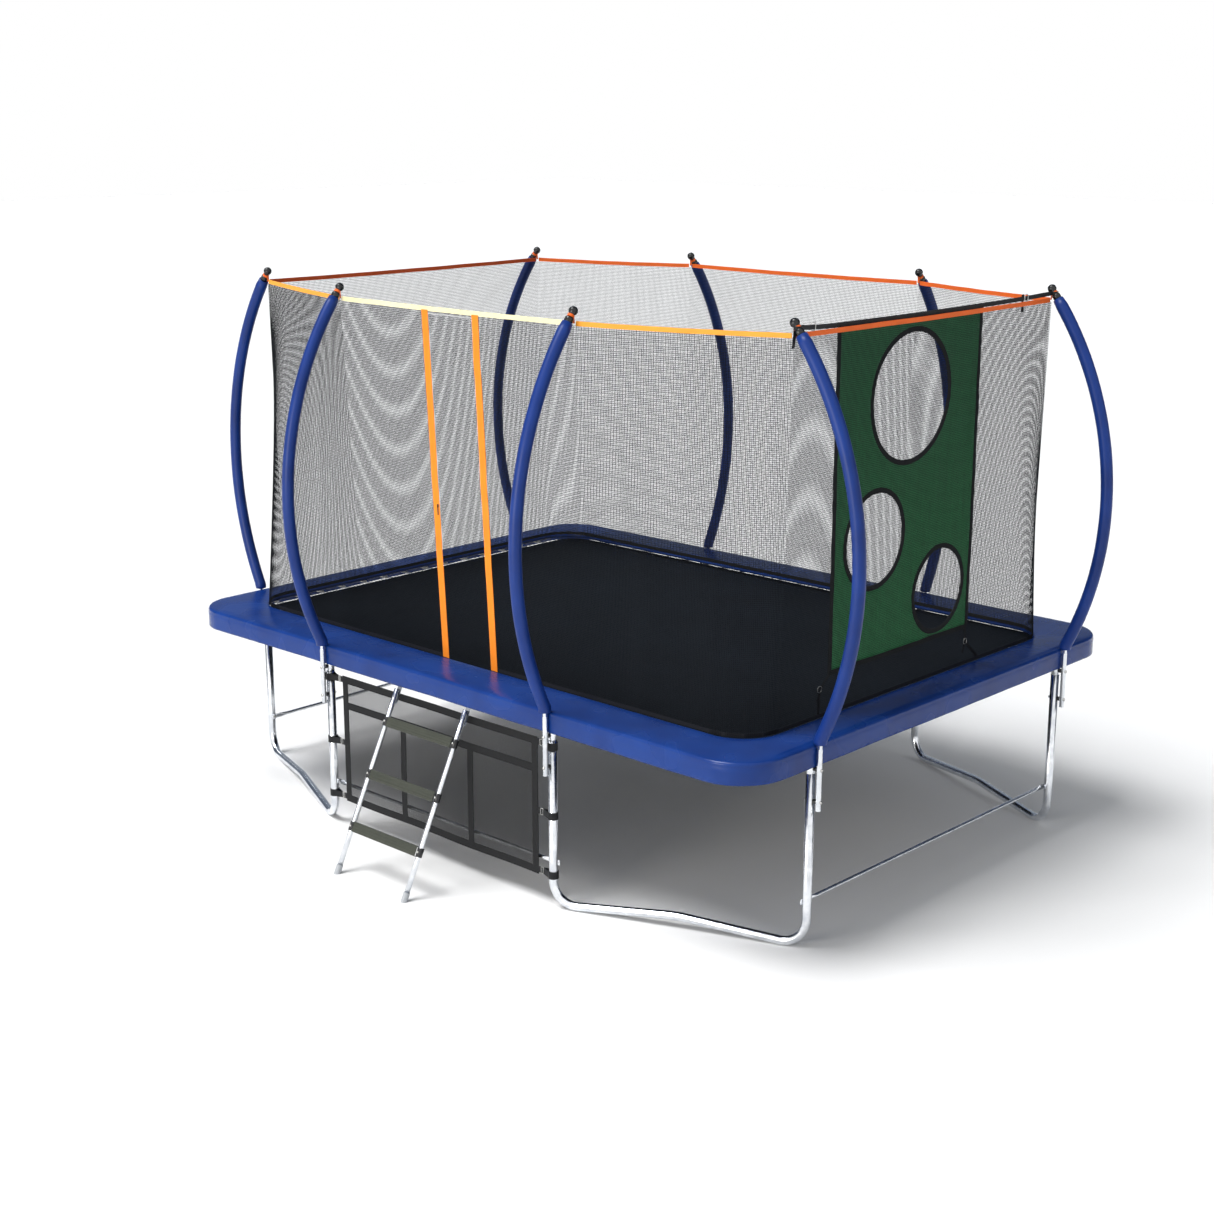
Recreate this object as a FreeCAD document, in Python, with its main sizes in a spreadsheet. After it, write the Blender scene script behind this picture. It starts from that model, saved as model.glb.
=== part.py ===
import FreeCAD
import Part
import Sketcher
import math
import os

# Garden trampoline of the 13 by 10 foot class: an oblong tube frame on four
# W-shaped leg frames, a sprung mat under a padded edge, and a net on eight
# bowed poles. Origin on the floor under the middle of the whole model,
# +X along the long side, the ladder and the door on the -Y side, +Z up.

V = FreeCAD.Vector
doc = FreeCAD.newDocument("Trampoline")

# Driving dimensions in millimetres and degrees.
SIZES = {
    # Frame and legs, measured to the centreline of the tube.
    "frame_length": 3898,
    "frame_width": 2950,
    "rail_height": 928,
    "corner_radius": 200,
    "frame_tube": 42,
    "tube_wall": 1.5,
    "long_side_leg": 809,
    "short_side_leg": 1022,
    "corner_overhang": 80,
    "socket_drop": 96,
    "spigot_length": 60,
    "spigot_slack": 0.6,
    "spigot_lap": 5,
    "foot_bend": 115,
    "foot_rise": 36,
    # Enclosure poles.
    "pole_tube": 25,
    "pole_wall": 1.8,
    "pole_offset": 47,
    "pole_bottom": 667,
    "pole_bend_radius": 80,
    "pole_bend_angle": 26.1,
    "pole_bow_radius": 1644,
    "cap_height": 2777,
    "foam_tube": 60,
    "foam_slack": 0.6,
    "cap_ball": 43,
    "cap_neck": 27,
    "cap_collar": 40,
    "cap_length": 62,
    "cap_wall": 10,
    "cap_play": 2,
    "upper_bolt_height": 856,
    "lower_bolt_height": 707,
    "spacer_width": 22,
    "bolt_head": 15,
    "bolt_head_height": 6,
    # Lower braces between neighbouring leg frames.
    "brace_height": 220,
    "brace_tube": 19,
    "brace_flat": 26,
    "brace_flat_thickness": 4,
    "brace_flat_length": 60,
    "brace_overrun": 18,
    # Jumping mat and springs.
    "mat_gap": 175,
    "mat_corner": 150,
    "mat_thickness": 3,
    "webbing_width": 50,
    "webbing_thickness": 2,
    "ring_width": 34,
    "ring_reach": 30,
    "ring_wire": 4,
    "spring_coil": 18,
    "long_side_springs": 22,
    "long_spring_pitch": 146,
    "short_side_springs": 14,
    "short_spring_pitch": 160,
    # Safety pad.
    "pad_overhang": 31,
    "pad_end_border": 211,
    "pad_side_border": 270,
    "pad_thickness": 22,
    "pad_rise": 25,
    "pad_inner_corner": 200,
    "pad_skirt": 82,
    "pad_skirt_thickness": 6,
    "pad_edge_radius": 12,
    # Net, door and top tape. Drops are measured down from what is above.
    "net_thickness": 2,
    "tape_width": 22,
    "tape_thickness": 2,
    "tape_drop": 55,
    "strip_middle": 175,
    "strip_width": 44,
    "strip_thickness": 2,
    "door_gap": 0.6,
    "door_rise": 20,
    "door_drop": 32,
    "door_head_gap": 8,
    "slider_rise": 775,
    "slider_tab": 40,
    "slider_body": 16,
    "slider_width": 12,
    "slider_thickness": 4,
    # Ball target on the right side.
    "target_front": -692,
    "target_back": 420,
    "target_shift": 40,
    "target_over_tape": 8,
    "target_length": 1565,
    "target_thickness": 3,
    "target_gap": 12,
    "upper_hole": 610,
    "upper_hole_side": -120,
    "upper_hole_drop": 360,
    "middle_hole": 455,
    "middle_hole_side": -350,
    "middle_hole_drop": 993,
    "lower_hole": 420,
    "lower_hole_side": 190,
    "lower_hole_drop": 1324,
    "target_strap": 21,
    "strap_tuck": 4,
    "tie_width": 16,
    "tie_inset": 12,
    "front_tie_spread": 70,
    "back_tie_spread": 120,
    # Storage panel between the front legs.
    "panel_strap": 78,
    "panel_top": 820,
    "panel_bottom": 140,
    "panel_band": 38,
    "panel_thickness": 2,
    "panel_second_drop": 155,
    "panel_upright": 250,
    "strap_band": 25,
    "strap_sheet": 3,
    "upper_strap_drop": 20,
    "middle_strap_drop": 360,
    "lower_strap_rise": 25,
    # Ladder.
    "ladder_half_width": 250,
    "ladder_tube": 26,
    "ladder_lean": 26,
    "ladder_start": 78,
    "ladder_length": 937,
    "hook_thickness": 3,
    "hook_width": 30,
    "hook_wrap": 161,
    "hook_shank": 150,
    "hook_gap": 0.1,
    "hook_bolt_inset": 16,
    "tread_face": 50,
    "tread_depth": 26,
    "tread_sheet": 2,
    "upper_tread": 247,
    "tread_pitch": 270,
    "clamp_height": 45,
    "clamp_wall": 3,
    "clamp_bolt": 10,
    "clamp_bolt_height": 4,
    "foot_wall": 3,
    "foot_grip": 30,
    "foot_length": 40,
    # Clearances between pieces that touch.
    "seat": 0.3,
}

sheet = doc.addObject("Spreadsheet::Sheet", "Size")
for row, (name, number) in enumerate(SIZES.items(), start=1):
    sheet.set("A%d" % row, name)
    sheet.set("B%d" % row, str(number))
    sheet.setAlias("B%d" % row, name)
doc.recompute()


def size(name):
    return float(sheet.get(name))


def worked(expression):
    """The number that an expression on the sheet gives."""
    result = sheet.evalExpression(expression)
    return float(getattr(result, "Value", result))


# Nodes that are written out at the end, in the order they are made.
nodes = []


def keep(item):
    nodes.append(item)
    return item


def feature(label, shape, base=V(0, 0, 0), turn=0.0):
    """A sub-part made of a finished shape, turned about Z and moved into place."""
    item = doc.addObject("Part::Feature", label)
    item.Label = label
    item.Shape = shape
    item.Placement = FreeCAD.Placement(base, FreeCAD.Rotation(V(0, 0, 1), turn))
    return keep(item)


def new_body(label):
    body = doc.addObject("PartDesign::Body", label)
    body.Label = label
    return body


def new_sketch(body, role, offset="0"):
    """A sketch on one of the body's origin planes, moved along that plane's normal."""
    plane = [item for item in body.Origin.OriginFeatures if item.Role == role][0]
    sketch = body.newObject("Sketcher::SketchObject", body.Label + "_sketch")
    sketch.AttachmentSupport = (plane, [""])
    sketch.MapMode = "FlatFace"
    sketch.setExpression("AttachmentOffset.Base.z", offset)
    return sketch


def hold(sketch, kind, places, expression):
    """A driving dimension of a sketch, bound to an expression."""
    number = sketch.addConstraint(Sketcher.Constraint(kind, *places, worked(expression)))
    sketch.setExpression("Constraints[%d]" % number, expression)


def draw_polygon(sketch, corners):
    """A closed outline, each corner held by an expression across and one upwards."""
    first = sketch.GeometryCount
    spots = [V(worked(across), worked(up), 0) for across, up in corners]
    for here, there in zip(spots, spots[1:] + spots[:1]):
        sketch.addGeometry(Part.LineSegment(here, there))
    for n in range(len(corners)):
        following = first + (n + 1) % len(corners)
        sketch.addConstraint(Sketcher.Constraint("Coincident", first + n, 2, following, 1))
    for n, (across, up) in enumerate(corners):
        hold(sketch, "DistanceX", (-1, 1, first + n, 1), across)
        hold(sketch, "DistanceY", (-1, 1, first + n, 1), up)


def draw_box(sketch, left, bottom, right, top):
    draw_polygon(sketch, [(left, bottom), (right, bottom), (right, top), (left, top)])


def draw_circle(sketch, radius, across="0", up="0"):
    centre = V(worked(across), worked(up), 0)
    number = sketch.addGeometry(Part.Circle(centre, V(0, 0, 1), worked(radius)))
    hold(sketch, "Radius", (number,), radius)
    hold(sketch, "DistanceX", (-1, 1, number, 3), across)
    hold(sketch, "DistanceY", (-1, 1, number, 3), up)


def draw_rounded_box(sketch, length, width, radius):
    """A rectangle about the origin with round corners, all bound to expressions."""
    half_x, half_y, r = worked(length) / 2, worked(width) / 2, worked(radius)
    first = sketch.GeometryCount
    signs = [(1, -1), (1, 1), (-1, 1), (-1, -1)]
    for n, (sx, sy) in enumerate(signs):
        circle = Part.Circle(V(sx * (half_x - r), sy * (half_y - r), 0), V(0, 0, 1), r)
        start = math.radians(90 * n - 90)
        sketch.addGeometry(Part.ArcOfCircle(circle, start, start + math.pi / 2))
    for n, (sx, sy) in enumerate(signs):
        here = sketch.getPoint(first + n, 2)
        there = sketch.getPoint(first + (n + 1) % 4, 1)
        sketch.addGeometry(Part.LineSegment(here, there))
    for n in range(4):
        line = first + 4 + n
        sketch.addConstraint(Sketcher.Constraint("Tangent", first + n, 2, line, 1))
        sketch.addConstraint(Sketcher.Constraint("Tangent", line, 2, first + (n + 1) % 4, 1))
    for n, (sx, sy) in enumerate(signs):
        across = "%d * (%s / 2 - (%s))" % (sx, length, radius)
        up = "%d * (%s / 2 - (%s))" % (sy, width, radius)
        hold(sketch, "DistanceX", (-1, 1, first + n, 3), across)
        hold(sketch, "DistanceY", (-1, 1, first + n, 3), up)
    hold(sketch, "Radius", (first,), radius)
    for n in range(1, 4):
        sketch.addConstraint(Sketcher.Constraint("Equal", first, first + n))


def extrude(body, sketch, length, middle=False):
    pad = body.newObject("PartDesign::Pad", body.Label + "_pad")
    pad.Profile = sketch
    pad.Midplane = middle
    pad.setExpression("Length", length)
    return pad


def placed(shape, base, turn=0.0):
    """A moved copy of a shape, turned about Z."""
    copy = shape.copy()
    copy.Placement = FreeCAD.Placement(base, FreeCAD.Rotation(V(0, 0, 1), turn)) * copy.Placement
    return copy


# Bent and repeated tubes are drawn with flats instead of a true circle, fewer
# of them where nothing shows.
TUBE_FLATS = 12
CAP_FLATS = 12
HIDDEN_FLATS = 6


def ring(radius, across, height, lean, flats=TUBE_FLATS, squash=1.0):
    """A closed outline square to a centreline in the XZ plane that leans from upright."""
    angles = [2 * math.pi * n / flats for n in range(int(flats))]
    spots = [V(radius * math.cos(a), squash * radius * math.sin(a), 0) for a in angles]
    wire = Part.makePolygon(spots + spots[:1])
    wire.Placement = FreeCAD.Placement(V(across, 0, height), FreeCAD.Rotation(V(0, 1, 0), lean))
    return wire


def tube(stations, radius, flats=TUBE_FLATS):
    """A solid run of straight pieces through stations (across, height, lean)."""
    return Part.makeLoft([ring(radius, *station, flats) for station in stations], True, True)


def turned(profile, flats=CAP_FLATS):
    """A standing solid of (radius, height) rings."""
    return Part.makeLoft([ring(r, 0, height, 0, flats) for r, height in profile], True, True)


def rod(radius, start, end, flats=TUBE_FLATS):
    """A straight solid bar between two points."""
    shape = turned([(radius, 0), (radius, (end - start).Length)], flats)
    shape.Placement = FreeCAD.Placement(start, FreeCAD.Rotation(V(0, 0, 1), end - start))
    return shape


def inside_fit(bore, flats):
    """The radius of a spigot that turns freely in a bore with flats."""
    return bore * math.cos(math.pi / flats) - size("spigot_slack") / 2


# Places that many pieces share. A pole or leg is named by its side of the
# trampoline, then by the end of that side; out is the way it faces, in degrees.
half_length = size("frame_length") / 2
half_width = size("frame_width") / 2
tube_radius = size("frame_tube") / 2
PAD_LENGTH = "(Size.frame_length + 2 * Size.pad_overhang)"
PAD_WIDTH = "(Size.frame_width + 2 * Size.pad_overhang)"
PAD_CORNER = "(Size.corner_radius + Size.pad_overhang)"
PAD_INNER_LENGTH = "(%s - 2 * Size.pad_end_border)" % PAD_LENGTH
PAD_INNER_WIDTH = "(%s - 2 * Size.pad_side_border)" % PAD_WIDTH
PAD_TOP = "(Size.rail_height + Size.pad_rise + Size.pad_thickness)"
TAPE_HEIGHT = "(Size.cap_height - Size.tape_drop)"
TARGET_TOP = "(%s + Size.target_over_tape)" % TAPE_HEIGHT
inner_half_x = worked(PAD_INNER_LENGTH) / 2
inner_half_y = worked(PAD_INNER_WIDTH) / 2
pad_top = worked(PAD_TOP)
tape_height = worked(TAPE_HEIGHT)
net_foot = pad_top + size("seat")
net_head = tape_height - size("tape_width") / 2 - size("seat")
POSTS = {
    "front_left": (-size("long_side_leg"), -half_width, -90),
    "front_right": (size("long_side_leg"), -half_width, -90),
    "right_front": (half_length, -size("short_side_leg"), 0),
    "right_back": (half_length, size("short_side_leg"), 0),
    "back_right": (size("long_side_leg"), half_width, 90),
    "back_left": (-size("long_side_leg"), half_width, 90),
    "left_back": (-half_length, size("short_side_leg"), 180),
    "left_front": (-half_length, -size("short_side_leg"), 180),
}
CORNERS = {
    "front_right": ("front_right", "right_front"),
    "back_right": ("right_back", "back_right"),
    "back_left": ("back_left", "left_back"),
    "front_left": ("left_front", "front_left"),
}


def post_spot(name, height=0.0, outwards=0.0):
    """A point at a post, moved outwards from its centreline."""
    x, y, out = POSTS[name]
    angle = math.radians(out)
    return V(x + outwards * math.cos(angle), y + outwards * math.sin(angle), height)


# Frame corners: one bent tube with two sockets, bored for the legs' spigots.
def corner_shape():
    rail_z = size("rail_height")
    radius = size("corner_radius")
    start = size("long_side_leg") - size("corner_overhang")
    end = size("short_side_leg") - size("corner_overhang")
    bend_x, bend_y = half_length - radius, half_width - radius
    turns = 5
    stations = [(start, half_width, 90)]
    for n in range(turns + 1):
        angle = math.radians(90 * n / turns)
        spot = (bend_x + radius * math.sin(angle), bend_y + radius * math.cos(angle))
        stations.append((*spot, 90 + math.degrees(angle)))
    stations.append((half_length, end, 180))
    shape = tube(stations, tube_radius)
    shape.Placement = FreeCAD.Placement(V(0, 0, rail_z), FreeCAD.Rotation(V(1, 0, 0), -90))
    bore = tube_radius - size("tube_wall")
    drop = V(0, 0, rail_z - size("socket_drop"))
    for x, y in ((size("long_side_leg"), half_width), (half_length, size("short_side_leg"))):
        low = V(x, y, 0) + drop
        shape = shape.fuse(rod(tube_radius, low, V(x, y, rail_z)))
        shape = shape.cut(rod(bore, low, low + V(0, 0, size("spigot_length") + 1), HIDDEN_FLATS))
    return shape


def make_corners():
    master = corner_shape()
    feature("frame_corner_back_right", master)
    feature("frame_corner_front_left", master, turn=180)
    mirrored = master.mirror(V(0, 0, 0), V(0, 1, 0))
    feature("frame_corner_front_right", mirrored)
    feature("frame_corner_back_left", mirrored, turn=180)


# Straight rails: round tubes that close the frame between the corners.
def make_rail(label, half_run, centre, turn):
    body = new_body(label)
    sketch = new_sketch(body, "YZ_Plane")
    draw_circle(sketch, "Size.frame_tube / 2")
    extrude(body, sketch, "2 * (%s)" % half_run, middle=True)
    body.Placement = FreeCAD.Placement(centre, FreeCAD.Rotation(V(0, 0, 1), turn))
    keep(body)


def make_rails():
    rail_z = size("rail_height")
    long_run = "Size.long_side_leg - Size.corner_overhang"
    short_run = "Size.short_side_leg - Size.corner_overhang"
    make_rail("frame_rail_front", long_run, V(0, -half_width, rail_z), 0)
    make_rail("frame_rail_back", long_run, V(0, half_width, rail_z), 0)
    make_rail("frame_rail_left", short_run, V(-half_length, 0, rail_z), 90)
    make_rail("frame_rail_right", short_run, V(half_length, 0, rail_z), 90)


# Leg frames: two uprights, two foot bends and two floor runs that rise to a
# kink in the middle, in one tube. Drawn in the XZ plane about that middle.
def leg_frame_shape(span):
    bend = size("foot_bend")
    kink = tube_radius + size("foot_rise")
    top = size("rail_height") - size("socket_drop")
    turns = 3
    half = [(-span / 2, top, 180)]
    for n in range(turns + 1):
        turned = 90 * n / turns
        angle = math.radians(turned)
        centre = (-span / 2 + bend, tube_radius + bend)
        spot = (centre[0] - bend * math.cos(angle), centre[1] - bend * math.sin(angle))
        half.append((*spot, 180 - turned))
    other = [(-across, height, 180 - lean) for across, height, lean in reversed(half)]
    shape = tube(half + [(0, kink, 90)] + other, tube_radius)
    spigot = inside_fit(tube_radius - size("tube_wall"), HIDDEN_FLATS)
    for across in (-span / 2, span / 2):
        foot = V(across, 0, top - size("spigot_lap"))
        high = V(across, 0, top + size("spigot_length"))
        shape = shape.fuse(rod(spigot, foot, high, HIDDEN_FLATS))
    return shape


def make_leg_frames():
    for corner, (first, second) in CORNERS.items():
        a, b = post_spot(first), post_spot(second)
        middle = (a + b) * 0.5
        turn = math.degrees(math.atan2(b.y - a.y, b.x - a.x))
        feature("leg_frame_" + corner, leg_frame_shape((b - a).Length), middle, turn)


# Pole curve, seen from the side: upright to the pad, a short bend outwards,
# then one long bow that brings the tip back in over the mat. Across is
# measured outwards from the upright part.
def pole_stations():
    turn = math.radians(size("pole_bend_angle"))
    bend, bow = size("pole_bend_radius"), size("pole_bow_radius")
    start = pad_top + size("seat")
    bow_across = bend - (bend + bow) * math.cos(turn)
    bow_height = start + (bend + bow) * math.sin(turn)
    rise = size("cap_height") - bow_height
    end = math.asin(rise / math.hypot(bow, size("cap_length"))) - math.atan2(size("cap_length"), bow)
    gaps = 5
    stations = [(0, start, 0)]
    for n in range(gaps + 1):
        angle = -turn + (end + turn) * n / gaps
        spot = (bow_across + bow * math.cos(angle), bow_height + bow * math.sin(angle))
        stations.append((*spot, -math.degrees(angle)))
    return stations


def beyond(station, distance):
    """The station reached by going straight on."""
    across, height, lean = station
    angle = math.radians(lean)
    return (across + distance * math.sin(angle), height + distance * math.cos(angle), lean)


# Lower poles: straight steel tubes bolted to the legs, open at both ends.
def make_lower_poles():
    radius = size("pole_tube") / 2
    low = V(0, 0, size("pole_bottom"))
    high = V(0, 0, size("rail_height") + size("pad_rise"))
    bore = rod(radius - size("pole_wall"), low - V(0, 0, 1), high + V(0, 0, 1), HIDDEN_FLATS)
    shape = rod(radius, low, high).cut(bore)
    feature("pole_lower_tubes", Part.makeCompound(at_posts(shape, size("pole_offset"))))


# Upper poles: bowed tubes hidden in their foam sleeves, each with a swaged
# end in the lower pole. The bore of a sleeve and the tube in it don't show,
# so both have fewer flats.
def upper_pole_shape():
    radius = size("pole_tube") / 2
    joint = size("rail_height") + size("pad_rise")
    stations = pole_stations()
    tip = beyond(stations[-1], size("cap_length") - size("cap_wall") - size("cap_play"))
    shape = tube([(0, joint, 0)] + stations + [tip], radius, HIDDEN_FLATS)
    spigot = inside_fit(radius - size("pole_wall"), HIDDEN_FLATS)
    foot = V(0, 0, joint - size("spigot_length"))
    return shape.fuse(rod(spigot, foot, V(0, 0, joint + size("spigot_lap")), HIDDEN_FLATS))


def foam_shape():
    stations = pole_stations()
    outside = tube(stations, size("foam_tube") / 2)
    bore = size("pole_tube") / 2 + size("foam_slack") / 2
    longer = [beyond(stations[0], -5)] + stations + [beyond(stations[-1], 5)]
    return outside.cut(tube(longer, bore, HIDDEN_FLATS))


def at_posts(shape, outwards=0.0):
    """Eight copies of a shape, one at each post and turned to face outwards."""
    return [placed(shape, post_spot(name, 0, outwards), POSTS[name][2]) for name in POSTS]


def make_upper_poles():
    offset = size("pole_offset")
    feature("pole_upper_tubes", Part.makeCompound(at_posts(upper_pole_shape(), offset)))
    sleeve = foam_shape()
    for name in POSTS:
        feature("foam_sleeve_" + name, sleeve, post_spot(name, 0, offset), POSTS[name][2])


# Pole caps: a collar on the foam, a neck that the tape's loop goes round,
# and a ball, with a blind hole for the tip of the tube.
def cap_shape():
    length = size("cap_length")
    ball, neck, collar = size("cap_ball") / 2, size("cap_neck") / 2, size("cap_collar") / 2
    collar_top = 0.45 * length
    ball_foot = length - 0.78 * ball
    solid = turned([
        (collar, 0), (collar, collar_top), (neck, collar_top + 1), (neck, ball_foot),
        (ball, length - 0.1 * ball), (0.94 * ball, length + 0.34 * ball), (0.4 * ball, length + 0.92 * ball),
    ])
    bore = size("pole_tube") / 2 + size("foam_slack") / 2
    return solid.cut(turned([(bore, -1), (bore, length - size("cap_wall"))], HIDDEN_FLATS))


def make_caps():
    across, height, lean = pole_stations()[-1]
    cap = cap_shape()
    cap.Placement = FreeCAD.Placement(V(across, 0, height), FreeCAD.Rotation(V(0, 1, 0), lean))
    feature("pole_caps", Part.makeCompound(at_posts(cap, size("pole_offset"))))


def prism(width, height, sides):
    """A standing prism by its width over the flats."""
    radius = width / 2 / math.cos(math.pi / sides)
    angles = [math.pi * (2 * n + 1) / sides for n in range(sides + 1)]
    outline = Part.makePolygon([V(radius * math.cos(a), radius * math.sin(a), 0) for a in angles])
    return Part.Face(outline).extrude(V(0, 0, height))


def outward_prism(width, height, sides, start, level):
    """A prism that lies outwards from a post at a level."""
    shape = prism(width, height, sides)
    shape.Placement = FreeCAD.Placement(V(start, 0, level), FreeCAD.Rotation(V(0, 1, 0), 90))
    return shape


# Pole fixings: at two heights a spacer sits between leg and pole, with a
# bolt head outside the pole and a nut inside the leg.
def make_pole_fixings():
    seat = size("seat")
    pole_radius = size("pole_tube") / 2
    gap = size("pole_offset") - tube_radius - pole_radius
    levels = (size("upper_bolt_height"), size("lower_bolt_height"))
    spacers, heads, nuts = [], [], []
    for level in levels:
        spacer = outward_prism(size("spacer_width"), gap - 2 * seat, 8, tube_radius + seat, level)
        outside = size("pole_offset") + pole_radius + seat
        head = outward_prism(size("bolt_head"), size("bolt_head_height"), 6, outside, level)
        inside = -tube_radius - seat - size("bolt_head_height")
        nut = outward_prism(size("bolt_head"), size("bolt_head_height"), 6, inside, level)
        spacers += at_posts(spacer)
        heads += at_posts(head)
        nuts += at_posts(nut)
    feature("pole_spacers", Part.makeCompound(spacers))
    feature("pole_bolts", Part.makeCompound(heads))
    feature("pole_nuts", Part.makeCompound(nuts))


# Lower braces: a tube whose ends are pressed flat and bolted to the inner
# side of two legs. The pressing spreads the same outline wide and thin.
def brace_shape(half_run):
    end = half_run + size("brace_overrun")
    flat = end - size("brace_flat_length")
    round_end = flat - 2 * size("brace_flat")
    tube_size, wide = size("brace_tube") / 2, size("brace_flat") / 2
    thin = size("brace_flat_thickness") / size("brace_flat")
    rings = []
    for across, radius, squash in (
        (-end, wide, thin), (-flat, wide, thin), (-round_end, tube_size, 1),
        (round_end, tube_size, 1), (flat, wide, thin), (end, wide, thin),
    ):
        rings.append(ring(radius, across, 0, 90, CAP_FLATS, squash))
    return Part.makeLoft(rings, True, True)


def make_braces():
    level = size("brace_height")
    inwards = tube_radius + size("seat") + size("brace_flat_thickness") / 2
    long_side, short_side = size("long_side_leg"), size("short_side_leg")
    feature("lower_brace_front", brace_shape(long_side), V(0, inwards - half_width, level))
    feature("lower_brace_back", brace_shape(long_side), V(0, half_width - inwards, level))
    feature("lower_brace_left", brace_shape(short_side), V(inwards - half_length, 0, level), 90)
    feature("lower_brace_right", brace_shape(short_side), V(half_length - inwards, 0, level), 90)
    inside = -tube_radius - size("seat") - size("brace_flat_thickness") - size("bolt_head_height")
    head = outward_prism(size("bolt_head"), size("bolt_head_height"), 6, inside - size("seat"), level)
    feature("brace_bolts", Part.makeCompound(at_posts(head)))


# Jumping mat with a webbing border under its edge.
def make_mat():
    length = "(Size.frame_length - 2 * Size.mat_gap)"
    width = "(Size.frame_width - 2 * Size.mat_gap)"
    body = new_body("mat")
    sketch = new_sketch(body, "XY_Plane", "Size.rail_height")
    draw_rounded_box(sketch, length, width, "Size.mat_corner")
    extrude(body, sketch, "Size.mat_thickness")
    keep(body)
    border = new_body("mat_webbing")
    sketch = new_sketch(border, "XY_Plane", "Size.rail_height - Size.webbing_thickness")
    draw_rounded_box(sketch, length, width, "Size.mat_corner")
    inner = "(%s - 2 * Size.webbing_width)"
    draw_rounded_box(sketch, inner % length, inner % width, "Size.mat_corner - Size.webbing_width")
    extrude(border, sketch, "Size.webbing_thickness")
    keep(border)


def spring_spots():
    """Points on the edge of the mat, with the way outwards in degrees."""
    spots = []
    edge_x = half_length - size("mat_gap")
    edge_y = half_width - size("mat_gap")
    count = int(size("long_side_springs"))
    for n in range(count):
        x = (n - (count - 1) / 2) * size("long_spring_pitch")
        spots += [(V(x, -edge_y, 0), -90), (V(x, edge_y, 0), 90)]
    count = int(size("short_side_springs"))
    for n in range(count):
        y = (n - (count - 1) / 2) * size("short_spring_pitch")
        spots += [(V(-edge_x, y, 0), 180), (V(edge_x, y, 0), 0)]
    return spots


# Mat rings: a triangular loop sewn into the webbing at each spring. Springs:
# a close coil between loop and rail. Both lie under the pad and stay plain.
def make_springs():
    level = size("rail_height")
    wire = size("ring_wire")
    half, reach = size("ring_width") / 2, size("ring_reach")
    start = size("seat")
    outline = [V(start, -half, 0), V(start, half, 0), V(reach, 0, 0), V(start, -half, 0)]
    triangle = Part.Face(Part.makePolygon(outline)).extrude(V(0, 0, wire))
    triangle.translate(V(0, 0, level - wire / 2))
    begin = reach + size("seat")
    end = size("mat_gap") - tube_radius - size("seat")
    spring = outward_prism(size("spring_coil"), end - begin, 6, begin, level)
    rings = [placed(triangle, spot, out) for spot, out in spring_spots()]
    springs = [placed(spring, spot, out) for spot, out in spring_spots()]
    feature("mat_v_rings", Part.makeCompound(rings))
    feature("springs", Part.makeCompound(springs))


# Safety pad: one foam ring over rail and springs with a skirt down the outside.
def make_pad():
    body = new_body("safety_pad")
    level = "Size.rail_height + Size.pad_rise"
    sketch = new_sketch(body, "XY_Plane", level)
    draw_rounded_box(sketch, PAD_LENGTH, PAD_WIDTH, PAD_CORNER)
    draw_rounded_box(sketch, PAD_INNER_LENGTH, PAD_INNER_WIDTH, "Size.pad_inner_corner")
    extrude(body, sketch, "Size.pad_thickness")
    sketch = new_sketch(body, "XY_Plane", level + " - Size.pad_skirt")
    wall = "Size.pad_skirt_thickness"
    draw_rounded_box(sketch, PAD_LENGTH, PAD_WIDTH, PAD_CORNER)
    thinner = "(%s - 2 * %s)"
    draw_rounded_box(sketch, thinner % (PAD_LENGTH, wall), thinner % (PAD_WIDTH, wall),
                     "%s - %s" % (PAD_CORNER, wall))
    extrude(body, sketch, "Size.pad_skirt")
    doc.recompute()
    rim = []
    for n, edge in enumerate(body.Shape.Edges, start=1):
        box = edge.BoundBox
        flat = abs(box.ZMin - pad_top) < 0.01 and abs(box.ZMax - pad_top) < 0.01
        reach = max(abs(box.XMin), abs(box.XMax)) > inner_half_x + 1
        wide = max(abs(box.YMin), abs(box.YMax)) > inner_half_y + 1
        if flat and (reach or wide):
            rim.append("Edge%d" % n)
    plain = body.Tip
    edge = body.newObject("PartDesign::Chamfer", "pad_edge")
    edge.Base = (plain, rim)
    edge.setExpression("Size", "Size.pad_edge_radius")
    keep(body)


def strip(corners_low, corners_high):
    """A thin panel between a lower and an upper closed outline."""
    low = Part.makePolygon(corners_low + corners_low[:1])
    high = Part.makePolygon(corners_high + corners_high[:1])
    return Part.makeLoft([low, high], True, True)


def facet(*corners):
    return Part.Face(Part.makePolygon(list(corners) + [corners[0]]))


def tip_spot(name, height):
    """Where the net's top line passes a pole."""
    across, ball_height, lean = beyond(pole_stations()[-1], size("cap_length"))
    return post_spot(name, height, size("pole_offset") + across)


# Net: panels of fine mesh, sewn edge to edge, from the pad's inner edge up to
# the tape. A corner has three gores between the pad's round corner and the
# straight top edge.
def gore(outline, inwards):
    """A thin panel over a fan of corners, its first corner being the fan's point."""
    point, border = outline[0], outline[1:]
    skin = []
    for here, there in zip(border, border[1:]):
        skin.append(facet(point, here, there))
        skin.append(facet(point + inwards, here + inwards, there + inwards))
    for here, there in zip(outline, border + [point]):
        skin.append(facet(here, there, there + inwards, here + inwards))
    shape = Part.Solid(Part.Shell(skin))
    if shape.Volume < 0:
        shape.reverse()
    return shape


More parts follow.
